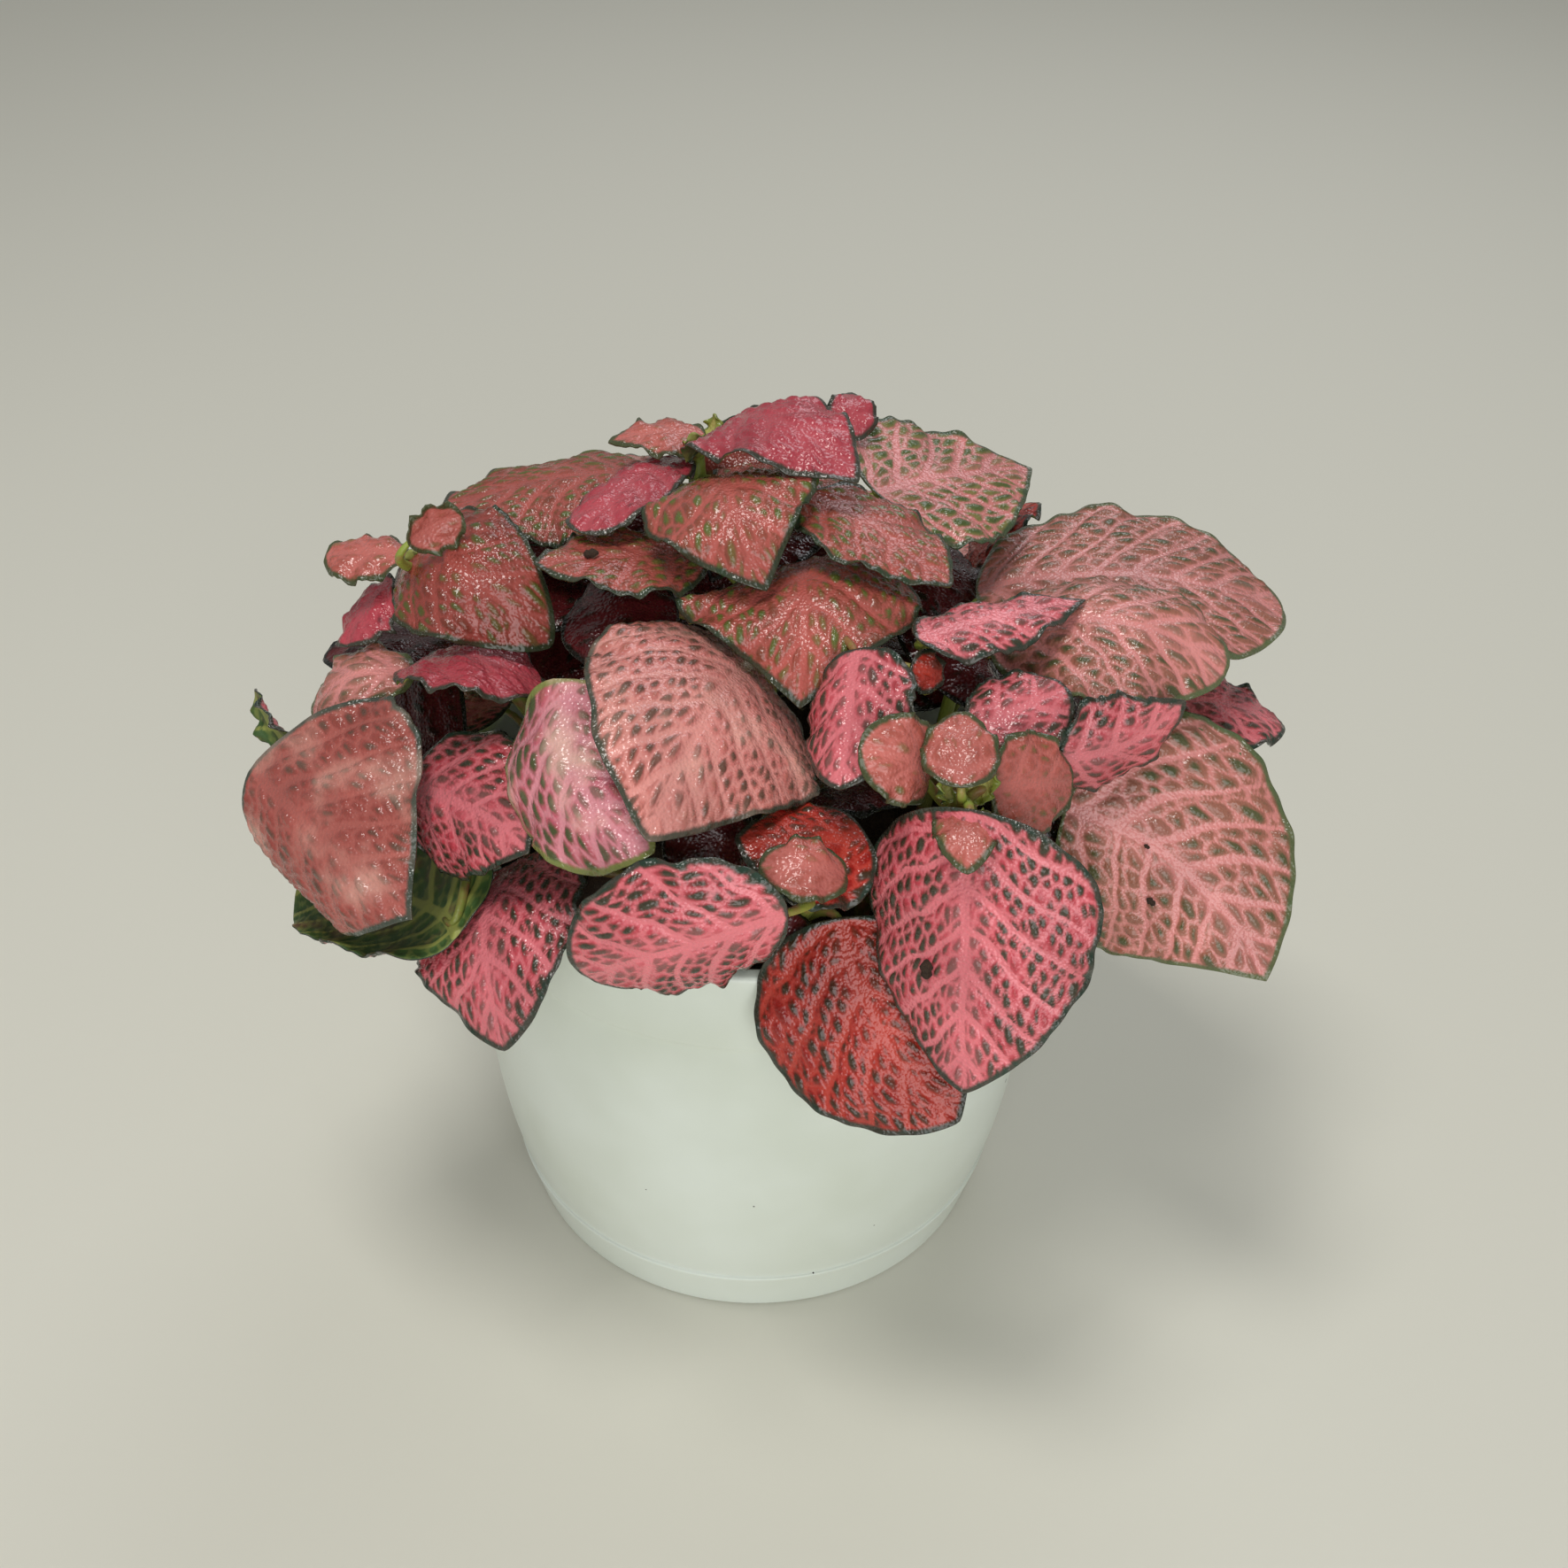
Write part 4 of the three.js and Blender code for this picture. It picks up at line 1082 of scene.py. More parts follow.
@dataclass(frozen=True)
class LeafUpperSide(Finish):
    """The upper side of a Fittonia leaf: living skin over green tissue, red where veins run through it.

    The cells bulge one by one, which gives the eye a pebbled gloss with many small glints. Veins are
    red or pink and lie in grooves, and each field between them keeps a dark green spot.

    Attributes:
        roughness: Under that of a waxy leaf, about 0.35, because the bulges spread the gloss as well.
        pebble: Size of the bulging groups of cells, in mm, drawn as coarse as the render shows.
        pebble_height: Height of the bulges, in mm.
        ragged: How far the borders of the markings wander, in mm.
        bleach: Colour of bleached patches.
    """

    label = "fittonia_leaf_upper_side"
    roughness: float = 0.25
    pebble: float = 0.55
    pebble_height: float = 0.15
    ragged: float = 0.42
    bleach: str = "E7BFAE"

    def surface(self, node: NodeMaker) -> Recipe:
        """Nodes that read the leaf's own attributes: distances in mm and colours.

        Args:
            node: Adds a node to the material.

        Returns:
            Settings of the shader, and what feeds it.
        """
        names = ("lines", "place", "flat", "pale", *("tint_" + name for name in COLOURS))
        read = {name: node("Attribute", {"attribute_name": name}).outputs["Vector"] for name in names}
        lines = node("SeparateXYZ", {}, {0: read["lines"]}).outputs
        place = node("SeparateXYZ", {}, {0: read["place"]}).outputs
        flat = {"Vector": read["flat"]}
        grain = node("TexNoise", {"Scale": 0.9, "Detail": 4.0, "Roughness": 0.65}, flat)
        blotch = node("TexNoise", {"Scale": 0.09, "Detail": 2.0}, flat)
        patch = node("TexNoise", {"Scale": 0.085, "Detail": 3.0, "Roughness": 0.5}, flat)
        wander = node("MapRange", {"To Min": -self.ragged, "To Max": self.ragged}, {"Value": grain})

        # Each marking lies over the one before it: the distance that draws it, where it starts and is
        # full, in mm, its colour and its strength.
        markings = (
            (place["X"], 9.0, 1.0, "tint_cell", 0.4),  # browner towards the margin
            (place["Z"], -0.1, 0.6, "tint_cell", 1.0),  # fields
            (lines["Y"], 0.42, -0.05, "tint_vein", 0.75),  # net
            (lines["Z"], -0.45, 0.3, "tint_spot", 0.92),  # spots
            (lines["X"], 0.34, 0.0, "tint_vein", 0.9),  # midrib and side veins
            (place["Y"], 6.0, 0.0, "tint_vein", 0.4),  # glow along the midrib
            (place["X"], 1.35, 0.6, "tint_rim", 0.95),  # thin band along the margin
        )
        colour = read["tint_flesh"]
        for distance, start, full, tint, strength in markings:
            rough_distance = node("Math", {"operation": "ADD"}, {0: distance, 1: wander})
            edge = SMOOTH | {"From Min": start, "From Max": full, "To Max": strength}
            mask = node("MapRange", edge, {"Value": rough_distance})
            colour = node("Mix", RGBA, {0: mask, 6: colour, 7: read[tint]})

        cloudy = SMOOTH | {"From Min": 0.46, "From Max": 0.74, "To Max": 0.8}
        clouds = node("MapRange", cloudy, {"Value": patch})
        share = node("SeparateXYZ", {}, {0: read["pale"]}).outputs["X"]
        pale = node("Math", {"operation": "MULTIPLY"}, {0: clouds, 1: share})
        bleached = node("Mix", RGBA | {7: linear(self.bleach)}, {0: pale, 6: colour})
        uneven = {"From Min": 0.3, "From Max": 0.7, "To Min": 0.86, "To Max": 1.12}
        lightness = node("MapRange", uneven, {"Value": blotch})
        shaded = node("VectorMath", {"operation": "SCALE"}, {0: bleached, "Scale": lightness})

        bulging = {"feature": "SMOOTH_F1", "Scale": 1 / self.pebble, "Smoothness": 0.6}
        pebbles = node("TexVoronoi", bulging, flat)
        domes = {"From Max": 0.8, "To Min": self.pebble_height * MM, "To Max": 0.0}
        height = node("MapRange", domes, {"Value": pebbles})
        bump = node("Bump", {"Strength": 0.9, "Distance": 1.0}, {"Height": height})
        least, most = self.roughness - 0.1, self.roughness + 0.12
        dull = {"From Min": 0.3, "From Max": 0.7, "To Min": least, "To Max": most}
        skin = {
            "IOR": 1.42, "Coat Weight": 0.35, "Coat Roughness": 0.14, "Subsurface Weight": 0.05,
            "Subsurface Radius": (1.0, 0.35, 0.2), "Subsurface Scale": 0.8 * MM,
        }
        gloss = node("MapRange", dull, {"Value": grain})
        return skin, {"Base Color": shaded, "Normal": bump, "Coat Normal": bump, "Roughness": gloss}


@dataclass(frozen=True)
class LeafUnderside(Finish):
    """The underside of a Fittonia leaf: matt pale green tissue with yellowish veins that stand out.

    Attributes:
        tissue: Colour between the veins.
        vein: Colour of the veins.
        blush: Red that shows through from the upper side in patches.
        roughness: A dull, slightly hairy leaf.
    """

    label = "fittonia_leaf_underside"
    tissue: str = "3F5C2B"
    vein: str = "94994C"
    blush: str = "7C4A3E"
    roughness: float = 0.55

    def surface(self, node: NodeMaker) -> Recipe:
        """Nodes that read the leaf's distances.

        Args:
            node: Adds a node to the material.

        Returns:
            Settings of the shader, and what feeds it.
        """
        seen = node("Attribute", {"attribute_name": "lines"}).outputs["Vector"]
        lines = node("SeparateXYZ", {}, {0: seen}).outputs
        flat = {"Vector": node("Attribute", {"attribute_name": "flat"}).outputs["Vector"]}
        blotch = node("TexNoise", {"Scale": 0.14, "Detail": 3.0}, flat)
        blush = node("MapRange", {"From Min": 0.5, "From Max": 0.7, "To Max": 0.7}, {"Value": blotch})
        colour = node("Mix", RGBA | {6: linear(self.tissue), 7: linear(self.blush)}, {0: blush})
        for distance, width, strength in ((lines["Y"], 0.35, 0.35), (lines["X"], 0.45, 0.85)):
            edge = SMOOTH | {"From Min": width, "From Max": 0.0, "To Max": strength}
            mask = node("MapRange", edge, {"Value": distance})
            colour = node("Mix", RGBA | {7: linear(self.vein)}, {0: mask, 6: colour})
        fine = node("TexNoise", {"Scale": 2.2, "Detail": 3.0}, flat)
        bump = node("Bump", {"Strength": 0.4, "Distance": 0.2 * MM}, {"Height": fine})
        return {"Roughness": self.roughness}, {"Base Color": colour, "Normal": bump}


@dataclass(frozen=True)
class StalkSkin(Finish):
    """The skin of stems and leaf stalks: juicy green tissue, blushed red and covered with fine short hairs.

    Attributes:
        green: Colour of the young tissue.
        brown: Colour of the older parts, low on the plant.
        blush: Red streaks.
        roughness: Softly glossy.
        old: Height, in metres, up to which a stem is brown, and from which it is green.
    """

    label = "fittonia_stalk_skin"
    green: str = "8C9A3E"
    brown: str = "5C5230"
    blush: str = "9C5648"
    roughness: float = 0.45
    old: Pair = (0.085, 0.125)

    def surface(self, node: NodeMaker) -> Recipe:
        """Nodes on the object's own coordinates, older and browner towards the soil.

        Args:
            node: Adds a node to the material.

        Returns:
            Settings of the shader, and what feeds it.
        """
        spot = {"Vector": node("TexCoord").outputs["Object"]}
        height = node("SeparateXYZ", {}, {0: spot["Vector"]}).outputs["Z"]
        ageing = {"From Min": self.old[0], "From Max": self.old[1], "To Min": 1.0, "To Max": 0.0}
        age = node("MapRange", ageing, {"Value": height})
        young = node("Mix", RGBA | {6: linear(self.green), 7: linear(self.brown)}, {0: age})
        streak = node("TexNoise", {"Scale": 220.0, "Detail": 3.0}, spot)
        red = node("MapRange", {"From Min": 0.48, "From Max": 0.62, "To Max": 0.7}, {"Value": streak})
        colour = node("Mix", RGBA | {7: linear(self.blush)}, {0: red, 6: young})
        hairs = node("TexNoise", {"Scale": 2500.0, "Detail": 2.0}, spot)
        bump = node("Bump", {"Strength": 0.5, "Distance": 0.2 * MM}, {"Height": hairs})
        return {"Roughness": self.roughness}, {"Base Color": colour, "Normal": bump}


@dataclass(frozen=True)
class MouldedPolypropylene(Finish):
    """White polypropylene of an injection-moulded nursery pot: softly glossy, milky, slightly waved.

    Attributes:
        body: Colour of the plastic, a cool greenish white.
        shade: Colour where it is a little dirty, in soft clouds.
        speck: Colour of small specks of soil that stick to it.
        roughness: Typical of moulded polypropylene with a polished mould.
    """

    label = "moulded_polypropylene"
    body: str = "DCE3DA"
    shade: str = "CFD6C9"
    speck: str = "2B2A24"
    roughness: float = 0.32

    def surface(self, node: NodeMaker) -> Recipe:
        """Nodes for clouds of about 40 mm and specks up to 1 mm across every 20 mm or so.

        Args:
            node: Adds a node to the material.

        Returns:
            Settings of the shader, and what feeds it.
        """
        spot = {"Vector": node("TexCoord").outputs["Object"]}
        cloud = node("TexNoise", {"Scale": 24.0, "Detail": 3.0}, spot)
        mask = node("MapRange", {"From Min": 0.42, "From Max": 0.75}, {"Value": cloud})
        clean = node("Mix", RGBA | {6: linear(self.body), 7: linear(self.shade)}, {0: mask})
        specks = node("TexVoronoi", {"Scale": 95.0}, spot)
        chosen = node("SeparateColor", {}, {0: specks.outputs["Color"]})
        sizes = {"From Min": 0.7, "From Max": 1.0, "To Min": 0.018, "To Max": 0.055}
        size = node("MapRange", sizes, {"Value": chosen})
        inside = node("Math", {"operation": "LESS_THAN"}, {0: specks, 1: size})
        colour = node("Mix", RGBA | {7: linear(self.speck)}, {0: inside, 6: clean})
        bump = node("Bump", {"Strength": 0.25, "Distance": 0.6 * MM}, {"Height": cloud})
        plastic = {
            "Roughness": self.roughness, "IOR": 1.49, "Subsurface Weight": 0.08,
            "Subsurface Radius": (1.0, 1.0, 0.9), "Subsurface Scale": 2 * MM,
        }
        return plastic, {"Base Color": colour, "Normal": bump}


@dataclass(frozen=True)
class PeatSoil(Finish):
    """Potting soil: damp milled peat with bark fibres and a few pale crumbs.

    Attributes:
        peat: Colour of the damp peat.
        fibre: Colour of drier fibres.
        crumb: Colour of the pale crumbs.
        roughness: Fully matt.
    """

    label = "peat_potting_soil"
    peat: str = "241A13"
    fibre: str = "4A3626"
    crumb: str = "9A8E78"
    roughness: float = 0.95

    def surface(self, node: NodeMaker) -> Recipe:
        """Nodes for crumbs of 1 to 3 mm and fibres under 1 mm.

        Args:
            node: Adds a node to the material.

        Returns:
            Settings of the shader, and what feeds it.
        """
        spot = {"Vector": node("TexCoord").outputs["Object"]}
        clump = node("TexNoise", {"Scale": 420.0, "Detail": 5.0, "Roughness": 0.7}, spot)
        grit = node("TexVoronoi", {"Scale": 190.0}, spot)
        near = node("MapRange", {"From Min": 0.16, "From Max": 0.10}, {"Value": grit})
        mix = node("Mix", RGBA | {6: linear(self.peat), 7: linear(self.fibre)}, {0: clump})
        colour = node("Mix", RGBA | {7: linear(self.crumb)}, {0: near, 6: mix})
        bump = node("Bump", {"Strength": 1.0, "Distance": 2 * MM}, {"Height": clump})
        return {"Roughness": self.roughness}, {"Base Color": colour, "Normal": bump}


@dataclass(frozen=True)
class StudioPaper(Finish):
    """Matt pale paper that the plant stands on.

    Attributes:
        paper: Its colour.
        roughness: Fully matt.
    """

    label = "studio_paper"
    paper: str = "DAD8CC"
    roughness: float = 0.85

    def surface(self, node: NodeMaker) -> Recipe:
        """Nodes for a faint tooth.

        Args:
            node: Adds a node to the material.

        Returns:
            Settings of the shader, and what feeds it.
        """
        spot = {"Vector": node("TexCoord").outputs["Object"]}
        tooth = node("TexNoise", {"Scale": 300.0, "Detail": 2.0}, spot)
        bump = node("Bump", {"Strength": 0.1, "Distance": 0.2 * MM}, {"Height": tooth})
        return {"Base Color": linear(self.paper), "Roughness": self.roughness}, {"Normal": bump}


# ------------------------------------------------------------------ pot and soil


def turned(profile: Array, sides: int) -> tuple[Array, Array]:
    """A profile turned about Z, whose first and last points are on the axis.

    Args:
        profile: Radius and height of each point, n by 2.
        sides: Points on each ring.

    Returns:
        The points and the faces.
    """
    angle = np.linspace(0, 2 * np.pi, sides, endpoint=False)
    radius, height = profile[1:-1, 0][:, None], profile[1:-1, 1][:, None]
    ring = np.stack([radius * np.cos(angle), radius * np.sin(angle), height + 0 * angle], axis=-1)
    poles = np.array([[0, 0, profile[0, 1]], [0, 0, profile[-1, 1]]])
    return np.concatenate([ring.reshape(-1, 3), poles]), ringed_faces(len(profile) - 2, sides)


def rounding(outer: Pair, radius: float, start: float, end: float, steps: int = 6) -> list[Pair]:
    """Points of a rounded corner, an arc between two angles.

    Args:
        outer: Middle of the arc, radius from the pot's axis and height.
        radius: Radius of the arc.
        start: First angle in degrees, from the outward direction.
        end: Last angle.
        steps: How many points.

    Returns:
        The points.
    """
    angles = np.radians(np.linspace(start, end, steps))
    return [(outer[0] + radius * math.cos(a), outer[1] + radius * math.sin(a)) for a in angles]


@dataclass
class NurseryPot:
    """The pot: a round, slightly swelling wall on a foot band, with a plain rim band and drain holes.

    Attributes:
        height: Full height.
        base_radius: Outer radius at the bottom.
        foot_height: Height of the foot band.
        foot_radius: Its outer radius at the top.
        foot_step: How far the wall steps in above it.
        foot_rounding: Radius of that step's edge.
        belly: Two handles of the wall's curve, from the neck's radius and from the foot's top.
        neck_radius: Outer radius of the wall under the rim band.
        rim_height: Height of the rim band.
        rim_radius: Its outer radius.
        rim_rounding: Radius of its lower edge.
        edge_rounding: Radius of the pot's outer edges at the bottom and the rim.
        lip_rounding: Radius of the rim's inner edge.
        seam: Small distance between a step and the wall, so that the step stays crisp.
        wall: Thickness of the wall.
        floor: Thickness of the floor.
        drain_holes: How many holes the floor has.
        drain_radius: Their radius.
        drain_circle: Radius of the circle that they lie on.
        sides: Points round the pot.
    """

    height: float = 100.0
    base_radius: float = 50.0
    foot_height: float = 12.0
    foot_radius: float = 52.6
    foot_step: float = 0.5
    foot_rounding: float = 0.45
    belly: tuple[Pair, Pair] = ((-0.2, 16.0), (1.0, 40.0))
    neck_radius: float = 56.8
    rim_height: float = 17.5
    rim_radius: float = 58.2
    rim_rounding: float = 0.5
    edge_rounding: float = 1.0
    lip_rounding: float = 0.8
    seam: float = 0.1
    wall: float = 1.8
    floor: float = 3.0
    drain_holes: int = 6
    drain_radius: float = 3.5
    drain_circle: float = 33.0
    sides: int = 192

    def body_curve(self) -> Array:
        """The outer wall from the foot to the neck, as a cubic curve.

        Returns:
            Radius and height of each point.
        """
        handles = [(self.neck_radius + out, self.foot_height + up) for out, up in self.belly]
        foot = (self.foot_radius - self.foot_step, self.foot_height)
        return cubic(np.array([foot, *handles, (self.neck_radius, self.height - self.rim_height)]), 40)[0]

    def inner_radius(self, height: Union[float, Array]) -> Array:
        """Radius of the inner wall: the outer wall less the wall's thickness.

        Args:
            height: One or more heights.

        Returns:
            The radius at each.
        """
        ends = [(self.base_radius, 0)], [(self.neck_radius, self.height)]
        outer = np.concatenate([ends[0], self.body_curve(), ends[1]])
        return np.interp(height, outer[:, 1], outer[:, 0]) - self.wall

    def profile(self) -> Array:
        """The wall's closed profile, from the middle of the underside round to the middle of the floor.

        Returns:
            Radius and height of each point.
        """
        neck, edge, foot = self.height - self.rim_height, self.edge_rounding, self.foot_rounding
        rim, lip, seam = self.rim_rounding, self.lip_rounding, self.seam
        outer = [(0.0, 0.0), (self.base_radius / 2, 0.0)]
        outer += rounding((self.base_radius - edge, edge), edge, -90, 0)
        outer += [(self.foot_radius - seam, self.foot_height - 2 * foot)]
        outer += rounding((self.foot_radius - foot, self.foot_height - foot - seam), foot, 0, 80)
        outer += [tuple(point) for point in self.body_curve()]
        outer += [(self.neck_radius + seam / 2, neck + seam)]
        outer += rounding((self.rim_radius - rim, neck + rim + 2.5 * seam), rim, -80, 0)
        outer += rounding((self.rim_radius - edge, self.height - edge), edge, 0, 90)
        inside = self.neck_radius - self.wall + lip
        outer += rounding((inside, self.height - lip), lip, 90, 180)
        heights = np.array([self.height - 3, 90, 80, 70, 60, 45, 30, 20, self.foot_height, self.floor + 2])
        inner = list(zip(self.inner_radius(heights), heights))
        bottom = float(self.inner_radius(self.floor)) - 2
        floor = [(radius, self.floor) for radius in (bottom, self.drain_circle, 0)]
        return np.array(outer + inner + floor)

    def build(self, material: bpy.types.Material) -> bpy.types.Object:
        """Make the pot's mesh, cut its drain holes and dress it.

        Args:
            material: Its plastic.

        Returns:
            The pot.
        """
        parts, drills = MeshParts(), MeshParts()
        parts.add(*turned(self.profile(), self.sides), 0)
        pot = parts.build("nursery_pot", [material])
        for angle in 2 * np.pi * (np.arange(self.drain_holes) + 0.5) / self.drain_holes:
            x, y = self.drain_circle * math.cos(angle), self.drain_circle * math.sin(angle)
            column = np.array([(x, y, z) for z in (-5.0, 0.0, self.floor, self.floor + 5)])
            drills.add(*tube(column, np.full(len(column), self.drain_radius), 32), 0)
        drill = drills.build("drills", [material])
        cut = pot.modifiers.new("drain_holes", "BOOLEAN")
        cut.operation, cut.solver, cut.object = "DIFFERENCE", "EXACT", drill
        shape = bpy.data.meshes.new_from_object(pot.evaluated_get(bpy.context.evaluated_depsgraph_get()))
        pot.modifiers.clear()
        pot.data = shape
        bpy.data.objects.remove(drill)
        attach(pot, "root")
        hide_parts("pot")
        return pot


@dataclass
class PottingSoil:
    """The soil in the pot: mounded in the middle, lumpy, with a small hollow at each stem.

    Attributes:
        pot: The pot that holds it.
        top: Height of its level, at the wall.
        mound: How much higher the middle is.
        lump: Height of its lumps.
        grain: Sine waves of its fine grain: radians per mm along x and y, phase and height.
        hollow: Half-width of the hollow at a stem.
        gap: Room between the soil and the pot.
        sides: Points round the soil.
        rings: Rings of points on its top.
    """

    pot: NurseryPot
    top: float = 82.0
    mound: float = 3.0
    lump: float = 0.7
    grain: tuple[tuple[float, ...], ...] = (
        (1.7, 0.9, 0.3, 0.22), (-1.1, 2.1, 1.9, 0.2), (2.9, -1.3, 4.0, 0.14), (0.8, 3.3, 2.2, 0.12)
    )
    hollow: float = 3.0
    gap: float = 0.3
    sides: int = 160
    rings: int = 70

    def height(self, x: Array, y: Array) -> Array:
        """Height of the soil: a mound of 1 - r r plus two crossed sine waves that calm at the wall.

        Args:
            x: Places across the pot.
            y: Places from front to back.

        Returns:
            The heights.
        """
        out = np.hypot(x, y) / self.pot.inner_radius(self.top)
        lumps = np.sin(x * 0.45 + y * 0.21) + np.sin(y * 0.52 - x * 0.17 + 1.3)
        return self.top + self.mound * (1 - out**2) + self.lump * lumps * (1 - out**6)

    def profile(self) -> Array:
        """The outline from the middle of the bottom, up along the wall and in over the top.

        Returns:
            Radius and height of each point.
        """
        bottom = self.pot.floor + self.gap
        low = float(self.pot.inner_radius(self.pot.floor)) - 2 - self.gap
        wall = np.array([bottom + 2, self.pot.foot_height, 30, 45, 60, self.top - 0.5])
        side = np.stack([self.pot.inner_radius(wall) - self.gap - 0.1, wall], axis=-1)
        radii = self.edge() * (1 - np.linspace(0, 1, self.rings))
        surface = np.stack([radii, np.full(self.rings, self.top)], axis=-1)
        return np.concatenate([[(0, bottom), (low, bottom)], side, surface])

    def edge(self) -> float:
        """Radius of the top, a little less than at the wall, which rounds its edge."""
        return float(self.pot.inner_radius(self.top)) - self.gap - 0.6

    def build(self, material: bpy.types.Material, stems: Sequence[Pair]) -> bpy.types.Object:
        """Make the soil's mesh and dress it.

        The fine grain is a sum of sine waves of 2 to 3.5 mm that calms at the wall, and each stem stands
        in a hollow 1 mm deep: exp(-(distance / half-width)^2).

        Args:
            material: Its peat.
            stems: Where the stems stand.

        Returns:
            The soil.
        """
        points, faces = turned(self.profile(), self.sides)
        on_top = points[:, 2] > self.top - 0.1
        x, y = points[on_top, 0], points[on_top, 1]
        grain = sum(np.sin(x * by_x + y * by_y + phase) * size for by_x, by_y, phase, size in self.grain)
        calm = 1 - np.clip(np.hypot(x, y) / self.edge(), 0, 1) ** 8
        hollows = sum(np.exp(-((x - at[0]) ** 2 + (y - at[1]) ** 2) / self.hollow**2) for at in stems)
        points[on_top, 2] = self.height(x, y) + grain * calm - hollows
        parts = MeshParts()
        parts.add(points, faces, 0)
        soil = parts.build("potting_soil", [material])
        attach(soil, "root")
        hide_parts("soil")
        return soil


# ------------------------------------------------------------------ leafy stems


def smooth_path(points: Array, samples: int) -> Array:
    """A centripetal Catmull-Rom curve through points, sampled at even lengths.

    Between two points it is the cubic whose slopes come from the neighbours on both sides, each
    step weighted by the square root of its length; past the ends, the last step is repeated.

    Args:
        points: The points, n by 3.
        samples: How many points to return.

    Returns:
        The points of the curve.
    """
    padded = np.concatenate([[2 * points[0] - points[1]], points, [2 * points[-1] - points[-2]]])
    step = np.sqrt(np.maximum(np.linalg.norm(np.diff(padded, axis=0), axis=1), 1e-4))[:, None]
    p0, p1, p2, p3 = padded[:-3], padded[1:-2], padded[2:-1], padded[3:]
    d0, d1, d2 = step[:-2], step[1:-1], step[2:]
    m1 = ((p1 - p0) / d0 - (p2 - p0) / (d0 + d1) + (p2 - p1) / d1) * d1
    m2 = ((p2 - p1) / d1 - (p3 - p1) / (d1 + d2) + (p3 - p2) / d2) * d1
    t = np.linspace(0, 1, 60)[None, :, None]
    p1, p2, m1, m2 = (a[:, None, :] for a in (p1, p2, m1, m2))
    bend = (2 * t**3 - 3 * t**2 + 1) * p1 + (t**3 - 2 * t**2 + t) * m1
    bend = bend + (-2 * t**3 + 3 * t**2) * p2 + (t**3 - t**2) * m2
    dense = bend.reshape(-1, 3)
    run = np.concatenate([[0], np.cumsum(np.linalg.norm(np.diff(dense, axis=0), axis=1))])
    even = np.linspace(0, run[-1], samples)
    return np.stack([np.interp(even, run, dense[:, k]) for k in range(3)], axis=-1)


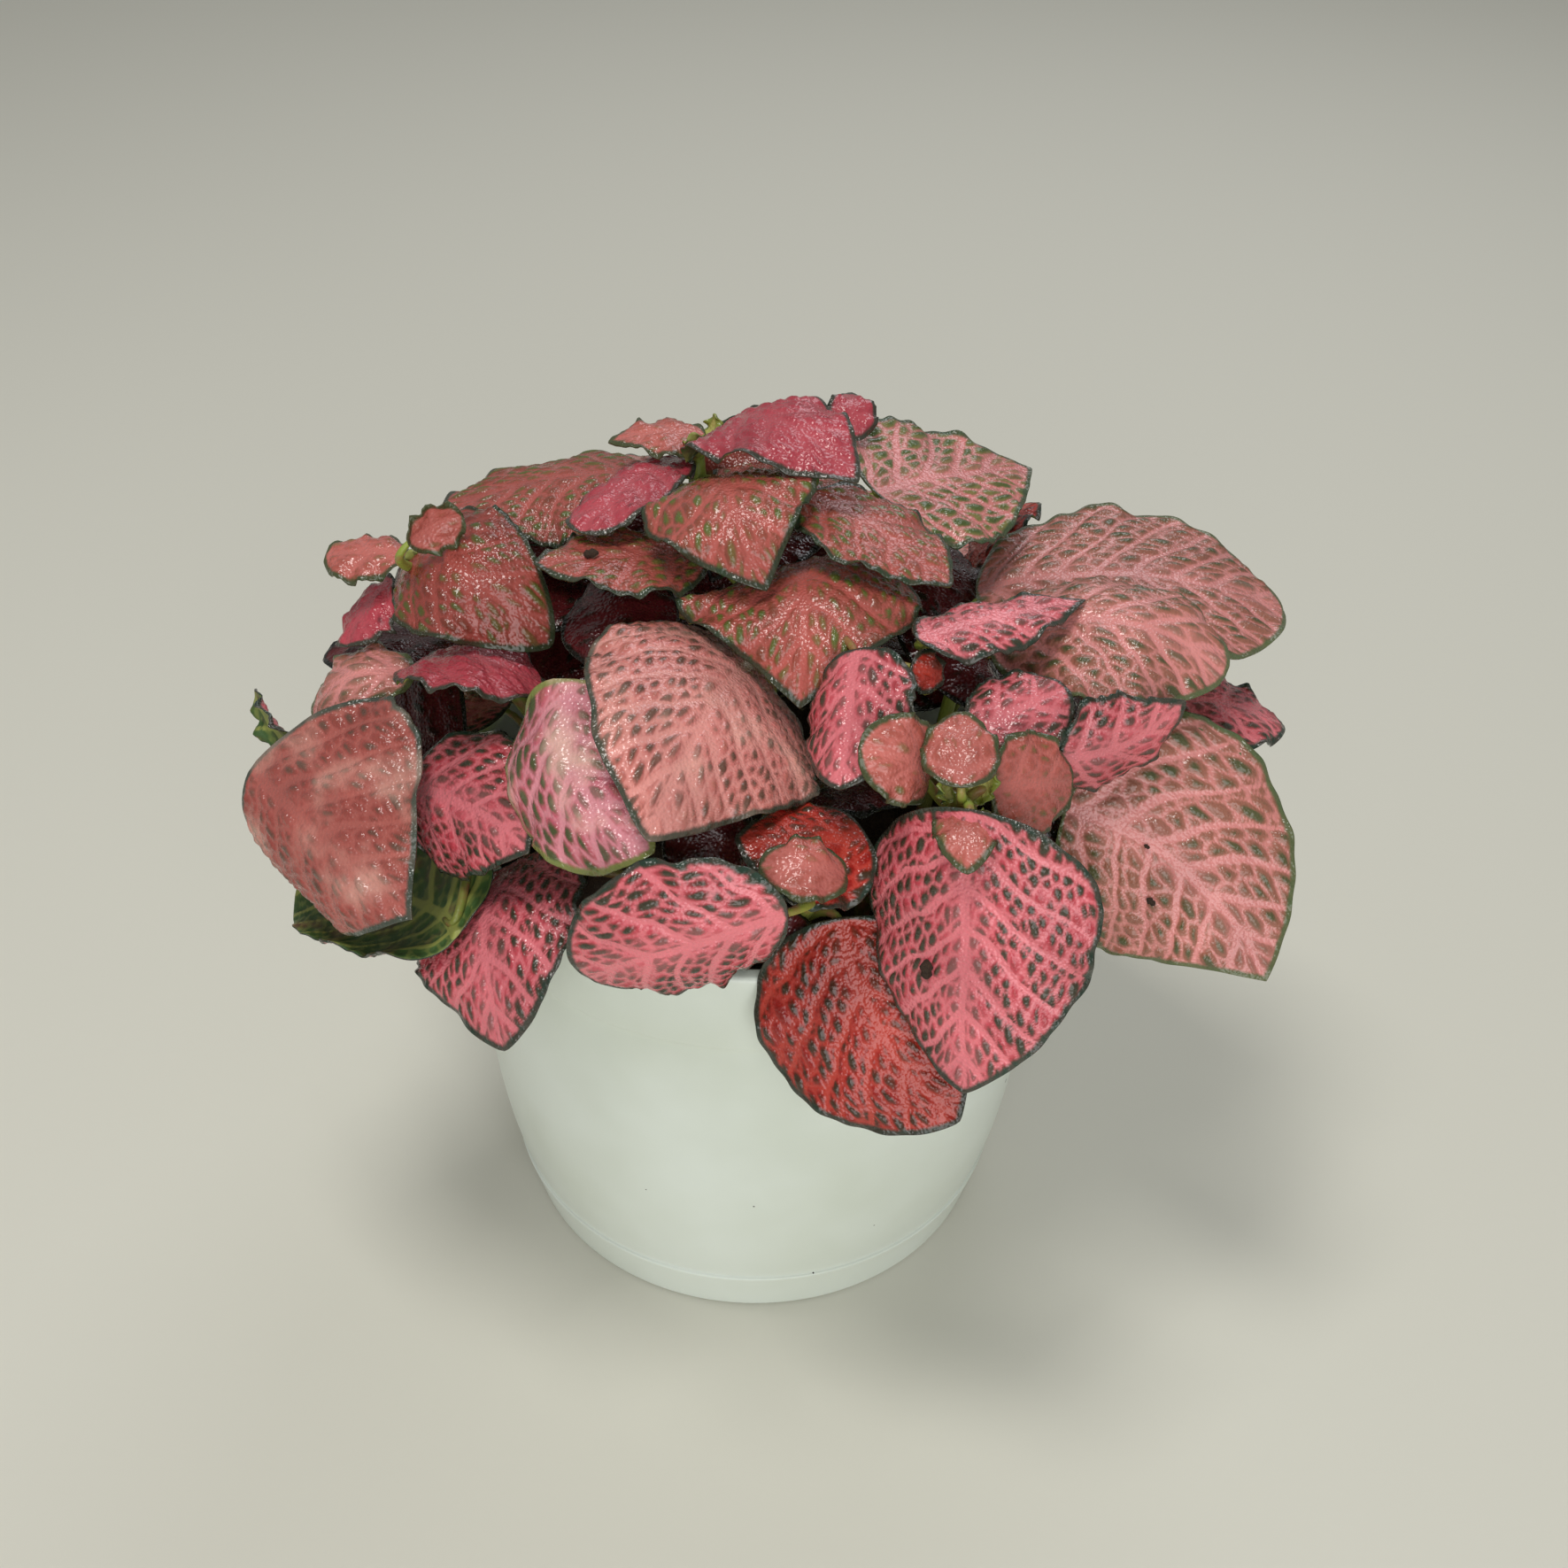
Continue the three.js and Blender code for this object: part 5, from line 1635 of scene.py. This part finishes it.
@dataclass
class LeafyStem:
    """One stem with its leaves, their stalks and its growing tip, as one piece.

    Attributes:
        place: Name of its place on the plant.
        plan: Its path and leaves.
        soil: The soil it stands in.
        draw: Seeded random draw.
        radius: Radius of the stem at its foot.
        taper: Share of it that is gone at the tip.
        depth_in_soil: How deep the stem starts below the soil's level.
        upright: How high above the soil it still stands straight.
        stalk_radius: Usual radius of a stalk.
        stalk_taper: Radius at the stalk's root, in usual ones, and how much less it is at the end.
        below_leaf: How far below its leaf a stalk leaves the stem, next to the stem.
        droop: How much farther for each mm between the stem and the leaf.
        lowest_root: Lowest height at which a stalk usually leaves the stem.
        run_under_blade: Share of the midrib that the stalk runs along.
        sink: How far it lies under the blade's middle surface.
        bud_leaves: Leaves of the growing tip.
        bud_length: Length of its larger leaves.
        bud_width: Their width.
        bud_smaller: Size of every second leaf, in larger ones.
        bud_opening: How far they lean out for each mm up.
        bud_spacing: How far their feet are from the tip's middle.
    """

    place: str
    plan: StemPlan
    soil: PottingSoil
    draw: np.random.Generator
    radius: float = 1.6
    taper: float = 0.22
    depth_in_soil: float = 16.0
    upright: float = 6.0
    stalk_radius: float = 0.85
    stalk_taper: Pair = (1.08, 0.55)
    below_leaf: float = 3.0
    droop: float = 0.35
    lowest_root: float = 98.0
    run_under_blade: float = 0.15
    sink: float = 0.6
    bud_leaves: int = 3
    bud_length: float = 7.0
    bud_width: float = 5.5
    bud_smaller: float = 0.75
    bud_opening: float = 0.7
    bud_spacing: float = 1.1

    def path(self, samples: int) -> Array:
        """The stem's centre line from below the soil to its tip.

        Args:
            samples: How many points to return.

        Returns:
            The points.
        """
        x, y = self.plan.foot
        level = float(self.soil.height(np.array(x), np.array(y)))
        low = [(x, y, self.soil.top - self.depth_in_soil), (x, y, level - 4), (x, y, level + self.upright)]
        return smooth_path(np.array(low + list(self.plan.path), dtype=float), samples)

    def stalk(self, leaf: Leaf, blade: Blade) -> tuple[Array, Array]:
        """The stalk of a leaf: a cubic curve from the stem to under the leaf's midrib, tapering to its end.

        Args:
            leaf: The leaf.
            blade: Its blade.

        Returns:
            The centre line and the radii.
        """
        along = np.array([0.0, self.run_under_blade])
        ends, facing, forward = blade.surface(along, np.zeros(2), fine=False)
        base, end = ends[0], ends[1] - facing[1] * self.sink
        line = self.path(61)
        out = np.hypot(base[0] - line[:, 0], base[1] - line[:, 1])
        usual = np.maximum(self.lowest_root, base[2] - self.below_leaf - self.droop * out)
        wanted = usual if leaf.root is None else leaf.root
        start = line[np.argmin(np.abs(line[:, 2] - wanted))]
        reach = float(np.linalg.norm(start - base))
        handle = base - forward[0] * min(7.0, reach * 0.4) - facing[1] * self.sink
        centre, t = cubic(np.array([start, start + (base - start) * 0.35, handle, end]), 22)
        at_root, less = self.stalk_taper
        return centre, self.stalk_radius * (at_root - less * t**3)

    def tip_leaves(self) -> list[Leaf]:
        """The growing tip: small leaves that stand round the stem's end and lean outwards.

        Returns:
            The leaves, none where the stem has no such tip.
        """
        if self.plan.bud is None:
            return []
        centre, axis = (np.array(part, dtype=float) for part in self.plan.bud)
        upward = unit(axis)
        out = unit(np.array([1.0, 0.0, 0.0]) - upward * upward[0])
        leaves = []
        for k in range(self.bud_leaves):
            radial = turned_about(out, upward, 2 * math.pi * (k + 0.3) / self.bud_leaves)
            size = 1.0 if k % 2 == 0 else self.bud_smaller
            rise = unit(upward + radial * self.bud_opening)
            foot = centre + radial * self.bud_spacing
            inward = upward - radial / self.bud_opening
            facing = unit(inward - rise * float(inward @ rise))
            level = upward_face(rise)
            roll = math.degrees(math.atan2(float(np.cross(level, facing) @ rise), float(level @ facing)))
            tip = foot + rise * self.bud_length * size
            leaves.append(Leaf(tuple(foot), tuple(tip), self.bud_width * size, roll, Kind.BUD, -1.0,
                               curl=(-25.0, -25.0), wave=0.9, fine=0.3))
        return leaves

    def build(self, materials: Sequence[bpy.types.Material]) -> bpy.types.Object:
        """Make the stem's mesh and dress it.

        Args:
            materials: Upper side, underside, stalk and soil.

        Returns:
            The leafy stem.
        """
        upper, under, skin, crumb = range(len(materials))
        parts = MeshParts()
        line = self.path(48)
        radii = self.radius * (1.0 - self.taper * np.linspace(0, 1, len(line)))
        parts.add(*tube(line, radii, 14), skin)
        for leaf in (*self.plan.leaves, *self.tip_leaves()):
            blade = Blade(leaf, self.draw)
            blade.add_to(parts, upper, under)
            blade.add_crumbs(parts, crumb)
            if leaf.kind is not Kind.BUD:
                parts.add(*tube(*self.stalk(leaf, blade), 10), skin)
        stem = parts.build("leaves_" + self.place, materials)
        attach(stem, "root")
        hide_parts("leafy_stem_" + self.place)
        return stem


# ------------------------------------------------------------------ studio


@dataclass
class Studio:
    """The camera, the floor, the lights and the pale surroundings.

    Attributes:
        target: The point that the camera and the lights face, in mm.
        distance: From the camera to that point, in mm.
        pitch: How far the camera looks down, in degrees.
        roll: How far it is tilted about its line of sight, in degrees.
        lens: Focal length in mm for the sensor's width.
        sensor: The sensor's width in mm.
        floor_side: Side of the square floor, in mm.
        floor_drop: How far it lies below the pot, in mm.
        surroundings: Colour of the light from all round.
        glow: Its strength.
    """

    target: Triple = (4.7, 0.0, 97.4)
    distance: float = 355.0
    pitch: float = 37.5
    roll: float = 1.5
    sensor: float = 36.0
    lens: float = 41.67
    floor_side: float = 6000.0
    floor_drop: float = 0.05
    surroundings: str = "EEF0EE"
    glow: float = 0.32

    def place_camera(self) -> None:
        """Place the camera behind the target along its line of sight."""
        pitch, roll = math.radians(self.pitch), math.radians(self.roll)
        forward = Vector((0, math.cos(pitch), -math.sin(pitch)))
        right, up = Vector((1, 0, 0)), Vector((0, math.sin(pitch), math.cos(pitch)))
        turned_right = right * math.cos(roll) + up * math.sin(roll)
        turned_up = up * math.cos(roll) - right * math.sin(roll)
        data = bpy.data.cameras.new("camera")
        data.sensor_width, data.lens = self.sensor, self.lens
        data.clip_start, data.clip_end = 0.01, 50.0
        camera = bpy.data.objects.new("camera", data)
        camera.matrix_world = Matrix((turned_right, turned_up, -forward)).transposed().to_4x4()
        camera.location = (Vector(self.target) - forward * self.distance) * MM
        bpy.context.scene.collection.objects.link(camera)
        bpy.context.scene.camera = camera

    def lay_floor(self, material: bpy.types.Material) -> None:
        """Lay a large flat floor just under the pot.

        Args:
            material: Its paper.
        """
        half, low = self.floor_side / 2, -self.floor_drop
        points = np.array([(-half, -half, low), (half, -half, low), (half, half, low), (-half, half, low)])
        parts = MeshParts()
        parts.add(points, np.array([[0, 1, 2, 3]]), 0)
        parts.build("floor", [material])

    def add_light(self, name: str, at: Triple, size: float, power: float, colour: str) -> None:
        """Add a square soft light that faces the plant.

        Args:
            name: Name of the light.
            at: Its place in mm.
            size: Side of the square in mm.
            power: Its power in watts.
            colour: Its colour.
        """
        data = bpy.data.lights.new(name, "AREA")
        data.size, data.energy, data.color = size * MM, power, linear(colour)[:3]
        light = bpy.data.objects.new(name, data)
        light.location = Vector(at) * MM
        towards = Vector(self.target) * MM - light.location
        light.rotation_euler = towards.to_track_quat("-Z", "Y").to_euler()
        bpy.context.scene.collection.objects.link(light)

    def build(self, material: bpy.types.Material) -> None:
        """Make everything in the studio.

        Args:
            material: The floor's paper.
        """
        self.place_camera()
        self.lay_floor(material)
        self.add_light("key", (-170.0, -160.0, 1100.0), 300.0, 4.4, "FFFDF8")
        self.add_light("front", (100.0, -1050.0, 420.0), 900.0, 6.6, "FFFFFF")
        self.add_light("back", (250.0, 750.0, 900.0), 500.0, 2.2, "F6F9FF")
        world = bpy.data.worlds.new("pale_room")
        world.use_nodes = True
        background = world.node_tree.nodes["Background"]
        background.inputs["Color"].default_value = linear(self.surroundings)
        background.inputs["Strength"].default_value = self.glow
        bpy.context.scene.world = world
        bpy.context.scene.view_settings.view_transform = "Standard"


# ------------------------------------------------------------------ the part


def main() -> None:
    """Build the plant piece by piece in the loaded frame."""
    logging.basicConfig(level=logging.INFO, format="%(name)s: %(message)s")
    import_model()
    draw = np.random.default_rng(GROWTH_SEED)

    pot = NurseryPot()
    pot.build(MouldedPolypropylene().build())
    LOG.info("pot built")
    soil = PottingSoil(pot)
    peat = PeatSoil().build()
    soil.build(peat, [plan.foot for plan in PLAN.values()])
    LOG.info("soil built")
    skins = [LeafUpperSide().build(), LeafUnderside().build(), StalkSkin().build(), peat]
    for place, plan in PLAN.items():
        piece = LeafyStem(place, plan, soil, draw).build(skins)
        LOG.info("leafy stem %s built, %d faces", place, len(piece.data.polygons))
    Studio().build(StudioPaper().build())

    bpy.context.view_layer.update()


if __name__ == "__main__":
    main()
